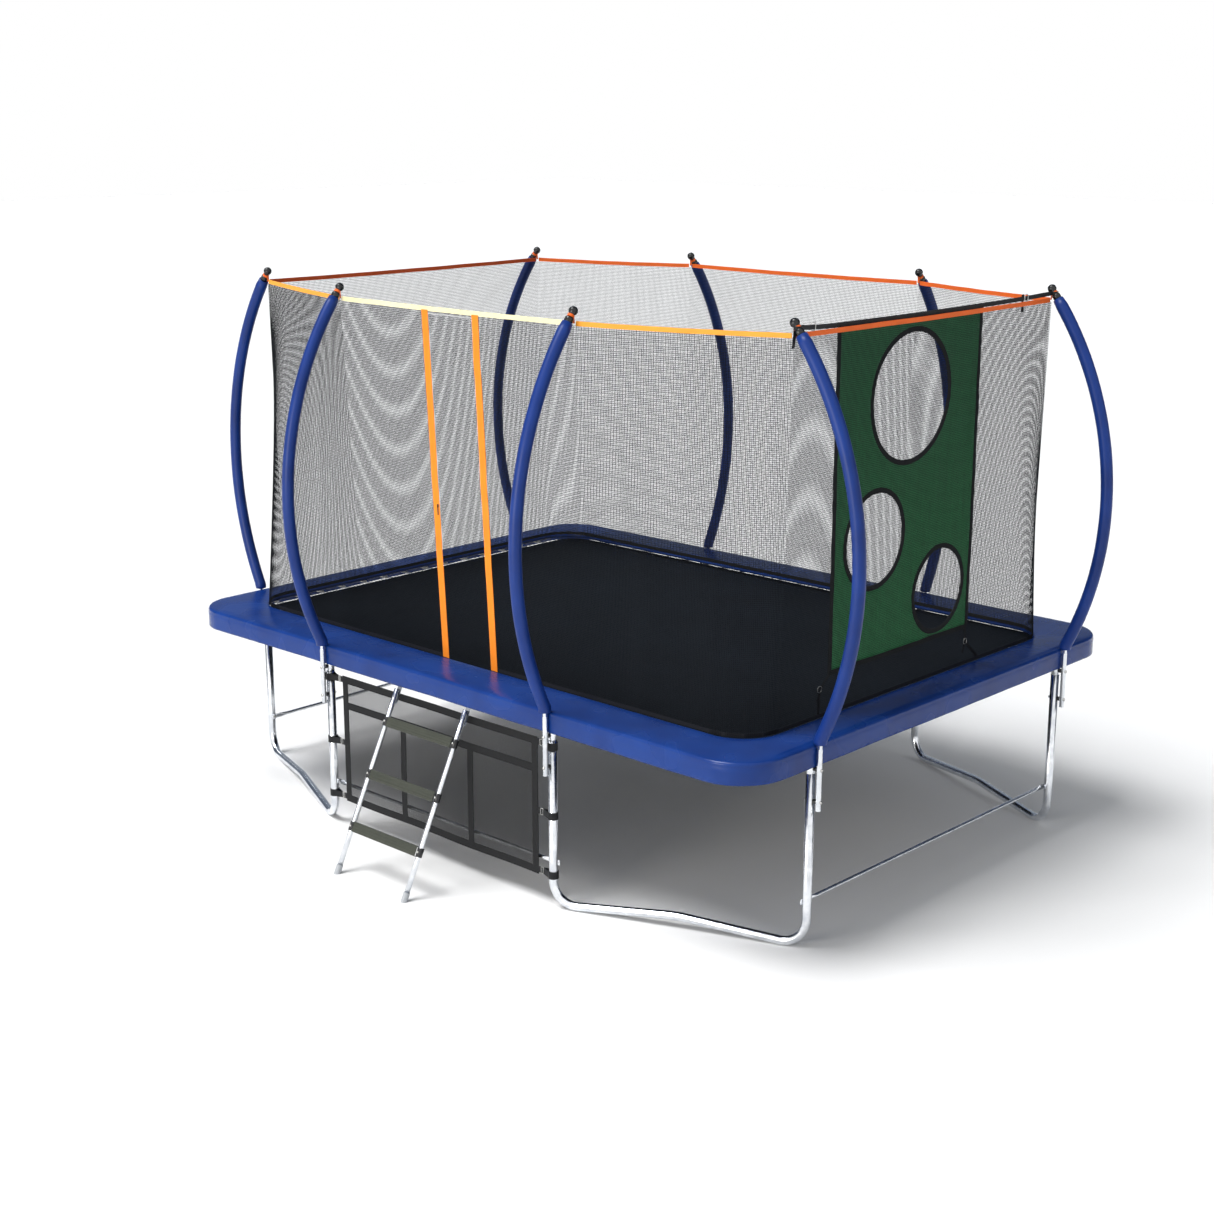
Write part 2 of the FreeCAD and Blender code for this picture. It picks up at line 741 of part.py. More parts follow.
def net_corner(first, second):
    """The three gores of a corner, made at +X +Y and mirrored to their place."""
    radius = size("pad_inner_corner")
    turns = 4
    lows = [V(size("long_side_leg") + size("net_thickness"), inner_half_y, net_foot)]
    for n in range(turns + 1):
        angle = math.pi / 2 * n / turns
        x = inner_half_x - radius + radius * math.sin(angle)
        y = inner_half_y - radius + radius * math.cos(angle)
        lows.append(V(x, y, net_foot))
    if POSTS[first][2] in (90, -90):
        along, other = first, second
    else:
        along, other = second, first
    a, b = tip_spot(along, net_head), tip_spot(other, net_head)
    sx, sy = math.copysign(1, a.x), math.copysign(1, a.y)
    long_high = V(abs(a.x) + size("net_thickness"), abs(a.y), net_head)
    short_high = V(abs(b.x), abs(b.y) + size("net_thickness"), net_head)
    half = len(lows) // 2
    inwards = V(-1, -1, 0).normalize() * size("net_thickness")
    gores = [
        gore([long_high] + lows[:half + 1], inwards),
        gore([lows[half], long_high, short_high], inwards),
        gore([short_high] + lows[half:], inwards),
    ]
    for shape in gores:
        shape.transformShape(FreeCAD.Matrix(sx, 0, 0, 0, 0, sy, 0, 0, 0, 0, 1, 0, 0, 0, 0, 1))
    return gores


def net_side(first, side_half):
    """A flat leaning panel between the two posts of one side."""
    wall = size("net_thickness")
    x, y, out = POSTS[first]
    face = V(math.cos(math.radians(out)), math.sin(math.radians(out)), 0)
    across = V(-face.y, face.x, 0)
    reach = abs(post_spot(first).dot(across))
    high = abs(tip_spot(first, 0).dot(face))

    def outline(distance, level):
        corner = [face * distance - across * reach, face * distance + across * reach]
        inner = [point - face * wall for point in reversed(corner)]
        return [point + V(0, 0, level) for point in corner + inner]

    return strip(outline(side_half + wall, net_foot), outline(high + wall, net_head))


def split_at_door(panel):
    """The front panel in three: left and right of the doorway, and the piece above it."""
    open_half = size("strip_middle") + size("seat")
    head = tape_height - size("door_drop") + size("door_head_gap")
    wide = half_length - open_half
    left = Part.makeBox(wide, half_width, tape_height, V(-half_length, -half_width, 0))
    right = Part.makeBox(wide, half_width, tape_height, V(open_half, -half_width, 0))
    above = Part.makeBox(2 * open_half, half_width, tape_height - head, V(-open_half, -half_width, head))
    return [panel.common(left), panel.common(right), panel.common(above)]


def make_net():
    panels = split_at_door(net_side("front_left", inner_half_y))
    panels.append(net_side("right_front", inner_half_x))
    panels.append(net_side("back_right", inner_half_y))
    panels.append(net_side("left_back", inner_half_x))
    for first, second in CORNERS.values():
        panels += net_corner(first, second)
    feature("enclosure_net", Part.makeCompound(panels))


# Top tape: a webbing line from cap to cap, all round.
def make_tape():
    names = list(POSTS)
    low, high = (tape_height + s * size("tape_width") / 2 for s in (-1, 1))
    wall = size("tape_thickness")
    outer = [tip_spot(name, low) for name in names]
    ring_line = []
    for n, spot in enumerate(outer):
        before = (spot - outer[n - 1]).normalize()
        after = (outer[(n + 1) % 8] - spot).normalize()
        normal = (V(before.y, -before.x, 0) + V(after.y, -after.x, 0)).normalize()
        wide = wall / max(0.5, normal.dot(V(after.y, -after.x, 0)))
        ring_line.append(spot + normal * wide)
    outside = Part.Face(Part.makePolygon(ring_line + ring_line[:1]))
    inside = Part.Face(Part.makePolygon(outer + outer[:1]))
    band = outside.cut(inside).extrude(V(0, 0, high - low))
    feature("net_top_tape", band)


# Door strips: orange webbing on both edges of the door opening, outside the
# net. They lie along the net's slope, so they are made flat and then tilted.
def net_slope():
    """The net's lean on the front side, and its outer face at the pad."""
    low_y = -inner_half_y - size("net_thickness")
    high_y = -abs(tip_spot("front_left", 0).y) - size("net_thickness")
    lean = math.degrees(math.atan2(low_y - high_y, net_head - net_foot))
    return lean, V(0, low_y, net_foot)


def on_net(body):
    """Stand a body made in the XZ plane against the front net."""
    lean, foot = net_slope()
    body.Placement = FreeCAD.Placement(foot, FreeCAD.Rotation(V(1, 0, 0), lean))
    return body


def net_run(height):
    """The length along the net's slope that reaches a height, as an expression."""
    return "(%s - %s) / cos(%.6f deg)" % (height, PAD_TOP, net_slope()[0])


def make_strips():
    body = new_body("door_strips")
    sketch = new_sketch(body, "XZ_Plane", "Size.seat")
    top = "(%s - %s - Size.tape_width)" % (TAPE_HEIGHT, PAD_TOP)
    inner = "(Size.strip_middle - Size.strip_width / 2)"
    outer = "(Size.strip_middle + Size.strip_width / 2)"
    draw_box(sketch, inner, "Size.seat", outer, top)
    draw_box(sketch, "-1 * " + outer, "Size.seat", "-1 * " + inner, top)
    extrude(body, sketch, "Size.strip_thickness")
    keep(on_net(body))


# Door: a flap of the same net between the strips, free at its foot.
def make_door():
    body = new_body("door_flap")
    sketch = new_sketch(body, "XZ_Plane", "-1 * Size.net_thickness")
    half = "(Size.strip_middle - Size.strip_width / 2 - Size.door_gap)"
    bottom, top = PAD_TOP + " + Size.door_rise", TAPE_HEIGHT + " - Size.door_drop"
    draw_box(sketch, "-1 * " + half, net_run(bottom), half, net_run(top))
    extrude(body, sketch, "Size.net_thickness")
    keep(on_net(body))
    slider = new_body("zip_slider")
    sketch = new_sketch(slider, "XZ_Plane", "2 * Size.seat + Size.strip_thickness")
    middle = "(0 - Size.strip_middle + Size.strip_width / 4)"
    height = net_run(PAD_TOP + " + Size.slider_rise")
    tab, body_top = height + " - Size.slider_tab", height + " + Size.slider_body"
    shoulder = height + " + Size.slider_body / 4"
    thin, wide = "Size.slider_width / 4", "Size.slider_width / 2"
    draw_polygon(sketch, [
        (middle + " - " + thin, tab), (middle + " + " + thin, tab),
        (middle + " + " + thin, height), (middle + " + " + wide, shoulder),
        (middle + " + " + wide, body_top), (middle + " - " + wide, body_top),
        (middle + " - " + wide, shoulder), (middle + " - " + thin, height),
    ])
    extrude(slider, sketch, "Size.slider_thickness")
    keep(on_net(slider))


# Ball target: a sheet with three round holes, hung inside the right net from
# a strap between two caps and tied down at its lower corners.
def target_plane():
    """Lean of the right net and the target's outer face at the pad."""
    high_x = abs(tip_spot("right_front", 0).x)
    lean = math.degrees(math.atan2(high_x - inner_half_x, net_head - net_foot))
    return lean, V(inner_half_x - size("target_gap"), 0, net_foot)


def target_rise(drop):
    """The length along the target's slope up to a drop below its top, as an expression."""
    return "(%s - Size.%s - %s) / cos(%.6f deg)" % (TARGET_TOP, drop, PAD_TOP, target_plane()[0])


def target_spot(height):
    """The target's outer face at a height: its distance across."""
    lean, foot = target_plane()
    return foot.x + (height - foot.z) * math.tan(math.radians(lean))


def make_target():
    lean, foot = target_plane()
    place = FreeCAD.Placement(foot, FreeCAD.Rotation(V(0, 1, 0), lean))
    body = new_body("ball_target")
    sketch = new_sketch(body, "YZ_Plane", "-1 * Size.target_thickness")
    top, bottom = target_rise("seat"), target_rise("target_length")
    draw_polygon(sketch, [
        ("Size.target_front + Size.target_shift", bottom),
        ("Size.target_back + Size.target_shift", bottom),
        ("Size.target_back", top), ("Size.target_front", top),
    ])
    for hole in ("upper", "middle", "lower"):
        draw_circle(sketch, "Size.%s_hole / 2" % hole, "Size.%s_hole_side" % hole,
                    target_rise(hole + "_hole_drop"))
    extrude(body, sketch, "Size.target_thickness")
    body.Placement = place
    keep(body)


def flat_band(points, width, thickness):
    """A band of webbing through points, standing on edge across the X axis."""
    outlines = []
    for spot in points:
        corners = [V(-thickness, 0, -width / 2), V(0, 0, -width / 2),
                   V(0, 0, width / 2), V(-thickness, 0, width / 2)]
        outlines.append(Part.makePolygon([spot + corner for corner in corners + corners[:1]]))
    return Part.makeLoft(outlines, True, True)


def make_target_strap():
    cap = beyond(pole_stations()[-1], 0.58 * size("cap_length"))
    reach = post_spot("right_front", 0, size("pole_offset") + cap[0])
    end = abs(reach.y) - size("cap_neck") / 2 - 2 * size("seat")
    over = worked(TARGET_TOP) + size("target_strap") / 2 + 2 * size("seat")
    outer, inner = reach.x - size("strap_tuck"), target_spot(over)
    shape = flat_band([
        V(outer, -end, cap[1]), V(inner, size("target_front"), over),
        V(inner, size("target_back"), over), V(outer, end, cap[1]),
    ], size("target_strap"), size("tape_thickness"))
    feature("target_strap", shape)


def tie_outline(spot):
    wide, wall = size("tie_width") / 2, size("tape_thickness")
    corners = [V(-wall, -wide, 0), V(0, -wide, 0), V(0, wide, 0), V(-wall, wide, 0)]
    return Part.makePolygon([spot + corner for corner in corners + corners[:1]])


def make_target_ties():
    bottom = worked(TARGET_TOP) - size("target_length")
    foot = target_plane()[1]
    ties = []
    for side, spread in (("front", -1), ("back", 1)):
        corner = size("target_" + side) + size("target_shift")
        low = V(foot.x - size("tape_thickness"), corner + spread * size(side + "_tie_spread"), net_foot)
        high = V(target_spot(bottom) - size("tape_thickness") / 2, corner - spread * size("tie_inset"), bottom)
        ties.append(Part.makeLoft([tie_outline(low), tie_outline(high)], True, True))
    feature("target_ties", Part.makeCompound(ties))


# Storage panel: mesh in a webbing frame between the front legs, held by
# three straps on each side.
PANEL_HALF = "(Size.long_side_leg - Size.frame_tube / 2 - Size.panel_strap)"


def make_storage_panel():
    body = new_body("storage_panel")
    sketch = new_sketch(body, "XZ_Plane", "Size.frame_width / 2 - Size.panel_thickness / 2")
    half = PANEL_HALF
    draw_box(sketch, "-1 * " + half, "Size.panel_bottom", half, "Size.panel_top")
    extrude(body, sketch, "Size.panel_thickness")
    sketch = new_sketch(body, "XZ_Plane", "Size.frame_width / 2 - Size.panel_thickness")
    band = "Size.panel_band"
    draw_box(sketch, "-1 * " + half, "Size.panel_bottom", half, "Size.panel_top")
    inner, low = "(%s - %s)" % (half, band), "Size.panel_bottom + " + band
    second = "(Size.panel_top - Size.panel_second_drop)"
    left, right = "-1 * Size.panel_upright", "Size.panel_upright"
    draw_box(sketch, "-1 * " + inner, "%s + %s / 2" % (second, band), inner, "Size.panel_top - " + band)
    below = "%s - %s / 2" % (second, band)
    draw_box(sketch, "-1 * " + inner, low, "%s - %s / 2" % (left, band), below)
    draw_box(sketch, "%s + %s / 2" % (left, band), low, "%s - %s / 2" % (right, band), below)
    draw_box(sketch, "%s + %s / 2" % (right, band), low, inner, below)
    extrude(body, sketch, "2 * Size.panel_thickness")
    keep(body)


def make_storage_straps():
    start = worked(PANEL_HALF) + size("seat")
    end = size("long_side_leg") - tube_radius - size("seat")
    wide, wall = size("strap_band"), size("strap_sheet")
    levels = (
        size("panel_top") - size("upper_strap_drop"),
        size("panel_top") - size("middle_strap_drop"),
        size("panel_bottom") + size("lower_strap_rise"),
    )
    straps = []
    for level in levels:
        for left in (-end, start):
            corner = V(left, -half_width - wall / 2, level - wide / 2)
            straps.append(Part.makeBox(end - start, wall, wide, corner))
    feature("storage_straps", Part.makeCompound(straps))


# Ladder: hangs on the front rail by two hooks and leans outwards. Made as if
# it hung straight down from the rail's centreline, inner side towards +Y.
def ladder_place():
    lean = FreeCAD.Rotation(V(1, 0, 0), -size("ladder_lean"))
    return FreeCAD.Placement(V(0, -half_width, size("rail_height")), lean)


def ladder_axis():
    """How far the ladder's tubes lie inside the rail's centreline."""
    return tube_radius + size("seat") - size("ladder_tube") / 2 - size("hook_gap")


def ladder_feature(label, shapes):
    shape = Part.makeCompound(shapes)
    item = feature(label, shape)
    item.Placement = ladder_place()
    return item


def make_ladder():
    radius = size("ladder_tube") / 2
    axis = ladder_axis()
    start, length = size("ladder_start"), size("ladder_length")
    wide, seat = size("ladder_half_width"), size("seat")
    rails, hooks, clamps, bolts, treads = [], [], [], [], []
    for side in (-1, 1):
        x = side * wide
        top, foot = V(x, axis, -start), V(x, axis, -start - length)
        bore = rod(radius - size("tube_wall"), top + V(0, 0, 1), foot - V(0, 0, 1))
        rails.append(rod(radius, foot, top).cut(bore))
        hooks.append(hook_shape(x))
        for level in (start + size("hook_bolt_inset"), size("hook_shank") - size("hook_bolt_inset")):
            head = prism(size("bolt_head"), size("bolt_head_height"), 6)
            back = tube_radius + seat + size("hook_thickness") + seat
            head.Placement = FreeCAD.Placement(V(x, back, -level), FreeCAD.Rotation(V(1, 0, 0), -90))
            bolts.append(head)
        for n in range(3):
            level = size("upper_tread") + n * size("tread_pitch")
            low = V(x, axis, -level - size("clamp_height") / 2)
            top = low + V(0, 0, size("clamp_height"))
            outer = rod(radius + seat + size("clamp_wall"), low, top)
            clamps.append(outer.cut(rod(radius + seat, low - V(0, 0, 1), top + V(0, 0, 1))))
            high = size("clamp_bolt_height")
            head = prism(size("clamp_bolt"), high, 6)
            spot = V(x, axis - radius - 2 * seat - size("clamp_wall") - high, -level)
            head.Placement = FreeCAD.Placement(spot, FreeCAD.Rotation(V(1, 0, 0), -90))
            bolts.append(head)
    for n in range(3):
        treads.append(tread_shape(-size("upper_tread") - n * size("tread_pitch")))
    ladder_feature("ladder_rails", rails)
    ladder_feature("ladder_hooks", hooks)
    ladder_feature("ladder_clamps", clamps)
    ladder_feature("ladder_bolts", bolts)
    ladder_feature("ladder_treads", treads)


def hook_shape(x):
    """A flat bar bolted to the tube's inner face and bent over the rail."""
    inner = tube_radius + size("seat")
    outer = inner + size("hook_thickness")
    wide, shank = size("hook_width"), size("hook_shank")
    wrap = math.radians(size("hook_wrap"))

    def around(radius, angle):
        return V(x - wide / 2, radius * math.cos(angle), radius * math.sin(angle))

    edges = [
        Part.Arc(around(inner, 0), around(inner, wrap / 2), around(inner, wrap)).toShape(),
        Part.LineSegment(around(inner, wrap), around(outer, wrap)).toShape(),
        Part.Arc(around(outer, wrap), around(outer, wrap / 2), around(outer, 0)).toShape(),
        Part.LineSegment(around(outer, 0), around(outer, 0) + V(0, 0, -shank)).toShape(),
        Part.LineSegment(around(outer, 0) + V(0, 0, -shank), around(inner, 0) + V(0, 0, -shank)).toShape(),
        Part.LineSegment(around(inner, 0) + V(0, 0, -shank), around(inner, 0)).toShape(),
    ]
    return Part.Face(Part.Wire(edges)).extrude(V(wide, 0, 0))


def tread_shape(level):
    """An open channel with its web towards the climber, cut to the clamps."""
    clamp = size("ladder_tube") / 2 + size("seat") + size("clamp_wall")
    half = size("ladder_half_width") - clamp - size("seat")
    axis = ladder_axis()
    face, deep, wall = size("tread_face") / 2, size("tread_depth"), size("tread_sheet")
    front = axis - deep / 2
    profile = [
        V(-half, front, -face), V(-half, front + deep, -face), V(-half, front + deep, wall - face),
        V(-half, front + wall, wall - face), V(-half, front + wall, face - wall),
        V(-half, front + deep, face - wall), V(-half, front + deep, face), V(-half, front, face),
    ]
    shape = Part.Face(Part.makePolygon(profile + profile[:1])).extrude(V(2 * half, 0, 0))
    shape.translate(V(0, 0, level))
    return shape


def make_ladder_feet():
    """End caps on the ladder's tubes, cut level where they stand."""
    inner = size("ladder_tube") / 2 + size("seat")
    start = size("ladder_start") + size("ladder_length")
    grip, length = V(0, 0, size("foot_grip")), V(0, 0, size("foot_length"))
    wide, deep = size("frame_length"), size("rail_height")
    below = Part.makeBox(wide, 4 * deep, deep, V(-wide / 2, -half_width - 2 * deep, -deep))
    feet = []
    for side in (-1, 1):
        end = V(side * size("ladder_half_width"), ladder_axis(), -start)
        cup = rod(inner + size("foot_wall"), end - length, end + grip)
        cup = cup.cut(rod(inner, end - V(0, 0, size("seat")), end + grip + V(0, 0, 1)))
        cup.Placement = ladder_place()
        feet.append(cup.cut(below))
    feature("ladder_feet", Part.makeCompound(feet))


make_corners()
make_rails()
make_leg_frames()
make_lower_poles()
make_upper_poles()
make_caps()
make_pole_fixings()
make_braces()
make_mat()
make_springs()
make_pad()
make_net()
make_tape()
make_strips()
make_door()
make_target()
make_target_strap()
make_target_ties()
make_storage_panel()
make_storage_straps()
make_ladder()
make_ladder_feet()
doc.recompute()

# The origin lies under the middle of the whole model, and the ladder reaches
# further than the poles behind it, so everything moves by the difference.
whole = FreeCAD.BoundBox()
for item in nodes:
    whole.add(item.Shape.optimalBoundingBox(False))
shift = V(-whole.Center.x, -whole.Center.y, 0)
for item in nodes:
    item.Placement = FreeCAD.Placement(shift, FreeCAD.Rotation()) * item.Placement
doc.recompute()
print("shift: %.3f %.3f, floor %.3f" % (shift.x, shift.y, whole.ZMin))
print("net lean: %.6f degrees, foot at y %.3f" % (net_slope()[0], net_slope()[1].y))

# Every object must be sound before anything is written.
for item in doc.Objects:
    if "Invalid" in item.State or "Error" in item.State:
        raise RuntimeError("%s failed: %s" % (item.Label, item.State))
for item in nodes:
    if item.Shape.isNull() or not item.Shape.isValid():
        raise RuntimeError("%s has no sound shape" % item.Label)

os.makedirs("parts", exist_ok=True)
for item in nodes:
    item.Shape.exportStep("parts/%s.step" % item.Label)
print("nodes:", len(nodes))
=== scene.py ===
import math

import bmesh
import bpy
from mathutils import Matrix, Vector, noise
from mathutils.geometry import delaunay_2d_cdt


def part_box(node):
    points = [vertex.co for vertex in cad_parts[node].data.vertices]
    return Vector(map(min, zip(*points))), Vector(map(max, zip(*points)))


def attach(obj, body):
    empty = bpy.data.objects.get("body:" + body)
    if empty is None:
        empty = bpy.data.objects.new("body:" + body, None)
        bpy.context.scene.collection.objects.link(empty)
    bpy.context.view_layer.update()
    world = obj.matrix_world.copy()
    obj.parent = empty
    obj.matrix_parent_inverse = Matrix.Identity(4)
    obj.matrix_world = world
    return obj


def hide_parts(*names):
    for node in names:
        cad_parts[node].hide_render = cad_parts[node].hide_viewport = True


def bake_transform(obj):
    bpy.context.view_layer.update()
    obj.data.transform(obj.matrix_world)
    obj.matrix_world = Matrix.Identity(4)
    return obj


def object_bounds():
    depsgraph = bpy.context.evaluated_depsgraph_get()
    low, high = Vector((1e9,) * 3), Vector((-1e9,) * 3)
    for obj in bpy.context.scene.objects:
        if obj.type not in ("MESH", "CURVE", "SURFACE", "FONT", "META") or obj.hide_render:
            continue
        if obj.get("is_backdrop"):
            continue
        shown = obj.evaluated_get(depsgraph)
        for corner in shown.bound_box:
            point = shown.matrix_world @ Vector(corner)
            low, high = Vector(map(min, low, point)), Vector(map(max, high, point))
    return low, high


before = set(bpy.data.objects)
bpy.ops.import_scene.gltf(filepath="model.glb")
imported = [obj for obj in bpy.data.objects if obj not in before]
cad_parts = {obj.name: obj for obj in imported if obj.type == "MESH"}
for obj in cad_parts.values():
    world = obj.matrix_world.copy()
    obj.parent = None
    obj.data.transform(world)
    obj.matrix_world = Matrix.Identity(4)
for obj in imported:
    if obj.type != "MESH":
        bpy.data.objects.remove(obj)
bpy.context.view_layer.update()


# Camera and studio. The camera stands where the photograph was taken, to the
# right of the front side and above the pad. The trampoline stands on a white
# floor that keeps its soft shadow. The middle of the mat is the middle of the frame.
mat_low, mat_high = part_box("mat")
middle = Vector(((mat_low[0] + mat_high[0]) / 2, (mat_low[1] + mat_high[1]) / 2, 0))
camera_data = bpy.data.cameras.new("studio_camera")
camera_data.lens = 56.67
camera_data.sensor_width = 36
camera_data.clip_end = 200
camera = bpy.data.objects.new("studio_camera", camera_data)
camera.location = Vector((6.7156, -7.3589, 3.6727)) + middle
camera.rotation_euler = (math.radians(90 - 14.864), 0, math.radians(43.388))
bpy.context.collection.objects.link(camera)
bpy.context.scene.camera = camera
bpy.context.scene.view_settings.view_transform = "Standard"


def linear(hex_colour):
    """An sRGB hex colour as linear red, green, blue and alpha."""
    parts = [int(hex_colour[n:n + 2], 16) / 255 for n in (1, 3, 5)]
    return [p / 12.92 if p <= 0.04045 else ((p + 0.055) / 1.055) ** 2.4 for p in parts] + [1]


def add_node(tree, kind, links=None, **settings):
    """A node with its attributes and input values set, and its inputs linked."""
    item = tree.nodes.new(kind)
    for name, value in settings.items():
        if hasattr(item, name):
            setattr(item, name, value)
    for name, value in (links or {}).items():
        socket = item.inputs[name]
        if isinstance(value, bpy.types.NodeSocket):
            tree.links.new(value, socket)
        else:
            socket.default_value = value
    return item


def new_material(name):
    """An empty node material with its output, ready for a shader."""
    material = bpy.data.materials.new(name)
    material.use_nodes = True
    tree = material.node_tree
    tree.nodes.clear()
    return material, tree, tree.nodes.new("ShaderNodeOutputMaterial")


def build(name, points, faces, material, smooth=True):
    """A mesh object at the origin from points and faces."""
    mesh = bpy.data.meshes.new(name)
    mesh.from_pydata([tuple(p) for p in points], [], faces)
    mesh.validate()
    item = bpy.data.objects.new(name, mesh)
    bpy.context.collection.objects.link(item)
    if material:
        mesh.materials.append(material)
    for polygon in mesh.polygons:
        polygon.use_smooth = smooth
    return item


floor_paint, tree, output = new_material("studio_floor")
diffuse = add_node(tree, "ShaderNodeBsdfDiffuse", {"Color": linear("#f4f4f4")})
tree.links.new(diffuse.outputs[0], output.inputs["Surface"])
FLOOR_HALF = 60
floor = build("studio_floor", [(x * FLOOR_HALF, y * FLOOR_HALF, 0) for x,
                               y in ((-1, -1), (1, -1), (1, 1), (-1, 1))],
              [(0, 1, 2, 3)], floor_paint)
floor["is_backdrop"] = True

world = bpy.data.worlds.new("studio_air")
bpy.context.scene.world = world
world.use_nodes = True
tree = world.node_tree
tree.nodes.clear()
seen = add_node(tree, "ShaderNodeLightPath")
air = add_node(tree, "ShaderNodeBackground", {"Color": linear("#eef2f6"), "Strength": 0.42})
white = add_node(tree, "ShaderNodeBackground", {"Color": (1, 1, 1, 1), "Strength": 1.0})
way = add_node(tree, "ShaderNodeTexCoord")
apart = add_node(tree, "ShaderNodeSeparateXYZ", {"Vector": way.outputs["Generated"]})
azimuth = add_node(tree, "ShaderNodeMath", {0: apart.outputs["Y"], 1: apart.outputs["X"]},
                   operation="ARCTAN2")
turn = add_node(tree, "ShaderNodeMapRange",
                {"Value": azimuth.outputs[0], "From Min": -math.pi, "From Max": math.pi})
screens = add_node(tree, "ShaderNodeValToRGB", {"Fac": turn.outputs["Result"]})
stops = ((0.0, "#5a6270"), (0.11, "#3a4250"), (0.13, "#ffffff"), (0.6, "#ffffff"), (0.62, "#2e3644"),
         (0.75, "#4a5260"), (0.85, "#8a929c"), (1.0, "#5a6270"))
while len(screens.color_ramp.elements) < len(stops):
    screens.color_ramp.elements.new(0.5)
for element, (position, tint) in zip(screens.color_ramp.elements, stops):
    element.position = position
    element.color = linear(tint)
mirrored = add_node(tree, "ShaderNodeBackground", {"Color": screens.outputs["Color"], "Strength": 1.15})
shiny = add_node(tree, "ShaderNodeMixShader",
                 {0: seen.outputs["Is Glossy Ray"], 1: air.outputs[0], 2: mirrored.outputs[0]})
mix = add_node(tree, "ShaderNodeMixShader",
               {0: seen.outputs["Is Camera Ray"], 1: shiny.outputs[0], 2: white.outputs[0]})
output = tree.nodes.new("ShaderNodeOutputWorld")
tree.links.new(mix.outputs[0], output.inputs["Surface"])


def studio_lamp(name, kind, power, way, place=(0, 0, 0), **settings):
    """A lamp that shines along a direction."""
    lamp = bpy.data.lights.new(name, kind)
    lamp.energy = power
    for key, value in settings.items():
        setattr(lamp, key, value)
    item = bpy.data.objects.new(name, lamp)
    item.location = place
    item.rotation_euler = Vector(way).to_track_quat("-Z", "Y").to_euler()
    bpy.context.collection.objects.link(item)


LAMP_PLACE = Vector((1.0, -11.0, 3.0))
studio_lamp("front_lamp", "AREA", 420, Vector((0, 0, 1.2)) - LAMP_PLACE, LAMP_PLACE,
            size=4.0, color=linear("#fffaf2")[:3])
studio_lamp("key_sun", "SUN", 2.9, (0.36, 0.46, -1.2), angle=math.radians(28))


# Frame corners: galvanised steel tube, 42 mm across, bent in one piece at each
# corner, with two short sockets welded underneath that the leg frames push
# into. A bead of weld runs round the head of each socket.
FRAME_LENGTH, FRAME_WIDTH, RAIL_Z = 3.898, 2.950, 0.928
CORNER_RADIUS, TUBE = 0.200, 0.042
LONG_LEG, SHORT_LEG = 0.809, 1.022
OVERHANG, SOCKET_DROP, SOCKET_LIP = 0.080, 0.096, 0.0015
TUBE_SIDES, BEAD_DROP, BEAD_WIRE = 28, 0.42, 0.0026
UP = Vector((0, 0, 1))
half_length, half_width = FRAME_LENGTH / 2, FRAME_WIDTH / 2
POSTS = {
    "front_left": (-LONG_LEG, -half_width, -90), "front_right": (LONG_LEG, -half_width, -90),
    "right_front": (half_length, -SHORT_LEG, 0), "right_back": (half_length, SHORT_LEG, 0),
    "back_right": (LONG_LEG, half_width, 90), "back_left": (-LONG_LEG, half_width, 90),
    "left_back": (-half_length, SHORT_LEG, 180), "left_front": (-half_length, -SHORT_LEG, 180),
}
CORNERS = {
    "front_right": ("front_right", "right_front", 1, -1), "back_right": ("right_back", "back_right", 1, 1),
    "back_left": ("back_left", "left_back", -1, 1), "front_left": ("left_front", "front_left", -1, -1),
}


def post_spot(name, height=0.0, outwards=0.0):
    """A point at a post, moved outwards from its centreline."""
    x, y, out = POSTS[name]
    angle = math.radians(out)
    return middle + Vector((x + outwards * math.cos(angle), y + outwards * math.sin(angle), height))


def outward(name):
    """The level direction in which a post's pole stands off its leg."""
    angle = math.radians(POSTS[name][2])
    return Vector((math.cos(angle), math.sin(angle), 0))


def arc(centre, start, end, turn, steps):
    """Points of an arc from start round centre, through turn radians towards end."""
    a, b = Vector(start) - Vector(centre), Vector(end) - Vector(centre)
    side = a.cross(b).normalized()
    return [Vector(centre) + Matrix.Rotation(turn * n / steps, 3, side) @ a for n in range(steps + 1)]


def circle(centre, radius, count, across=Vector((1, 0, 0)), other=Vector((0, 1, 0)), closed=False):
    """Points round a circle that lies along two directions. A closed one ends where it starts."""
    angles = [2 * math.pi * k / count for k in range(count + closed)]
    return [centre + (across * math.cos(a) + other * math.sin(a)) * radius for a in angles]


def ring_faces(rings, sides, closed=False, capped=True):
    """Faces between rings of points, with flat ends unless the last ring joins the first."""
    faces = []
    for n in range(rings if closed else rings - 1):
        here, there = n * sides, (n + 1) % rings * sides
        for k in range(sides):
            after = (k + 1) % sides
            faces.append((here + k, here + after, there + after, there + k))
    if capped and not closed:
        last = (rings - 1) * sides
        faces += [tuple(range(sides))[::-1], tuple(range(last, last + sides))]
    return faces


def inside_out(faces):
    """The same faces, seen from their other side."""
    return [(face[0],) + face[:0:-1] for face in faces]


def sweep(path, radius, sides=24, closed=False, capped=True):
    """Points and faces of a round tube along a path, without twist. Radius may be a list."""
    path = [Vector(p) for p in path]
    count = len(path)
    radii = radius if isinstance(radius, list) else [radius] * count
    points = []
    across = None
    for n, spot in enumerate(path):
        before = path[n - 1] if n or closed else path[0]
        after = path[(n + 1) % count] if n < count - 1 or closed else path[-1]
        along = (after - before).normalized()
        if across is None:
            across = along.orthogonal().normalized()
        across = (across - along * across.dot(along)).normalized()
        points += circle(spot, radii[n], sides, across, along.cross(across))
    return points, ring_faces(count, sides, closed, capped)


def gather(pieces):
    """Several (points, faces) pairs as one."""
    points, faces = [], []
    for some_points, some_faces in pieces:
        start = len(points)
        points += some_points
        faces += [tuple(start + n for n in face) for face in some_faces]
    return points, faces


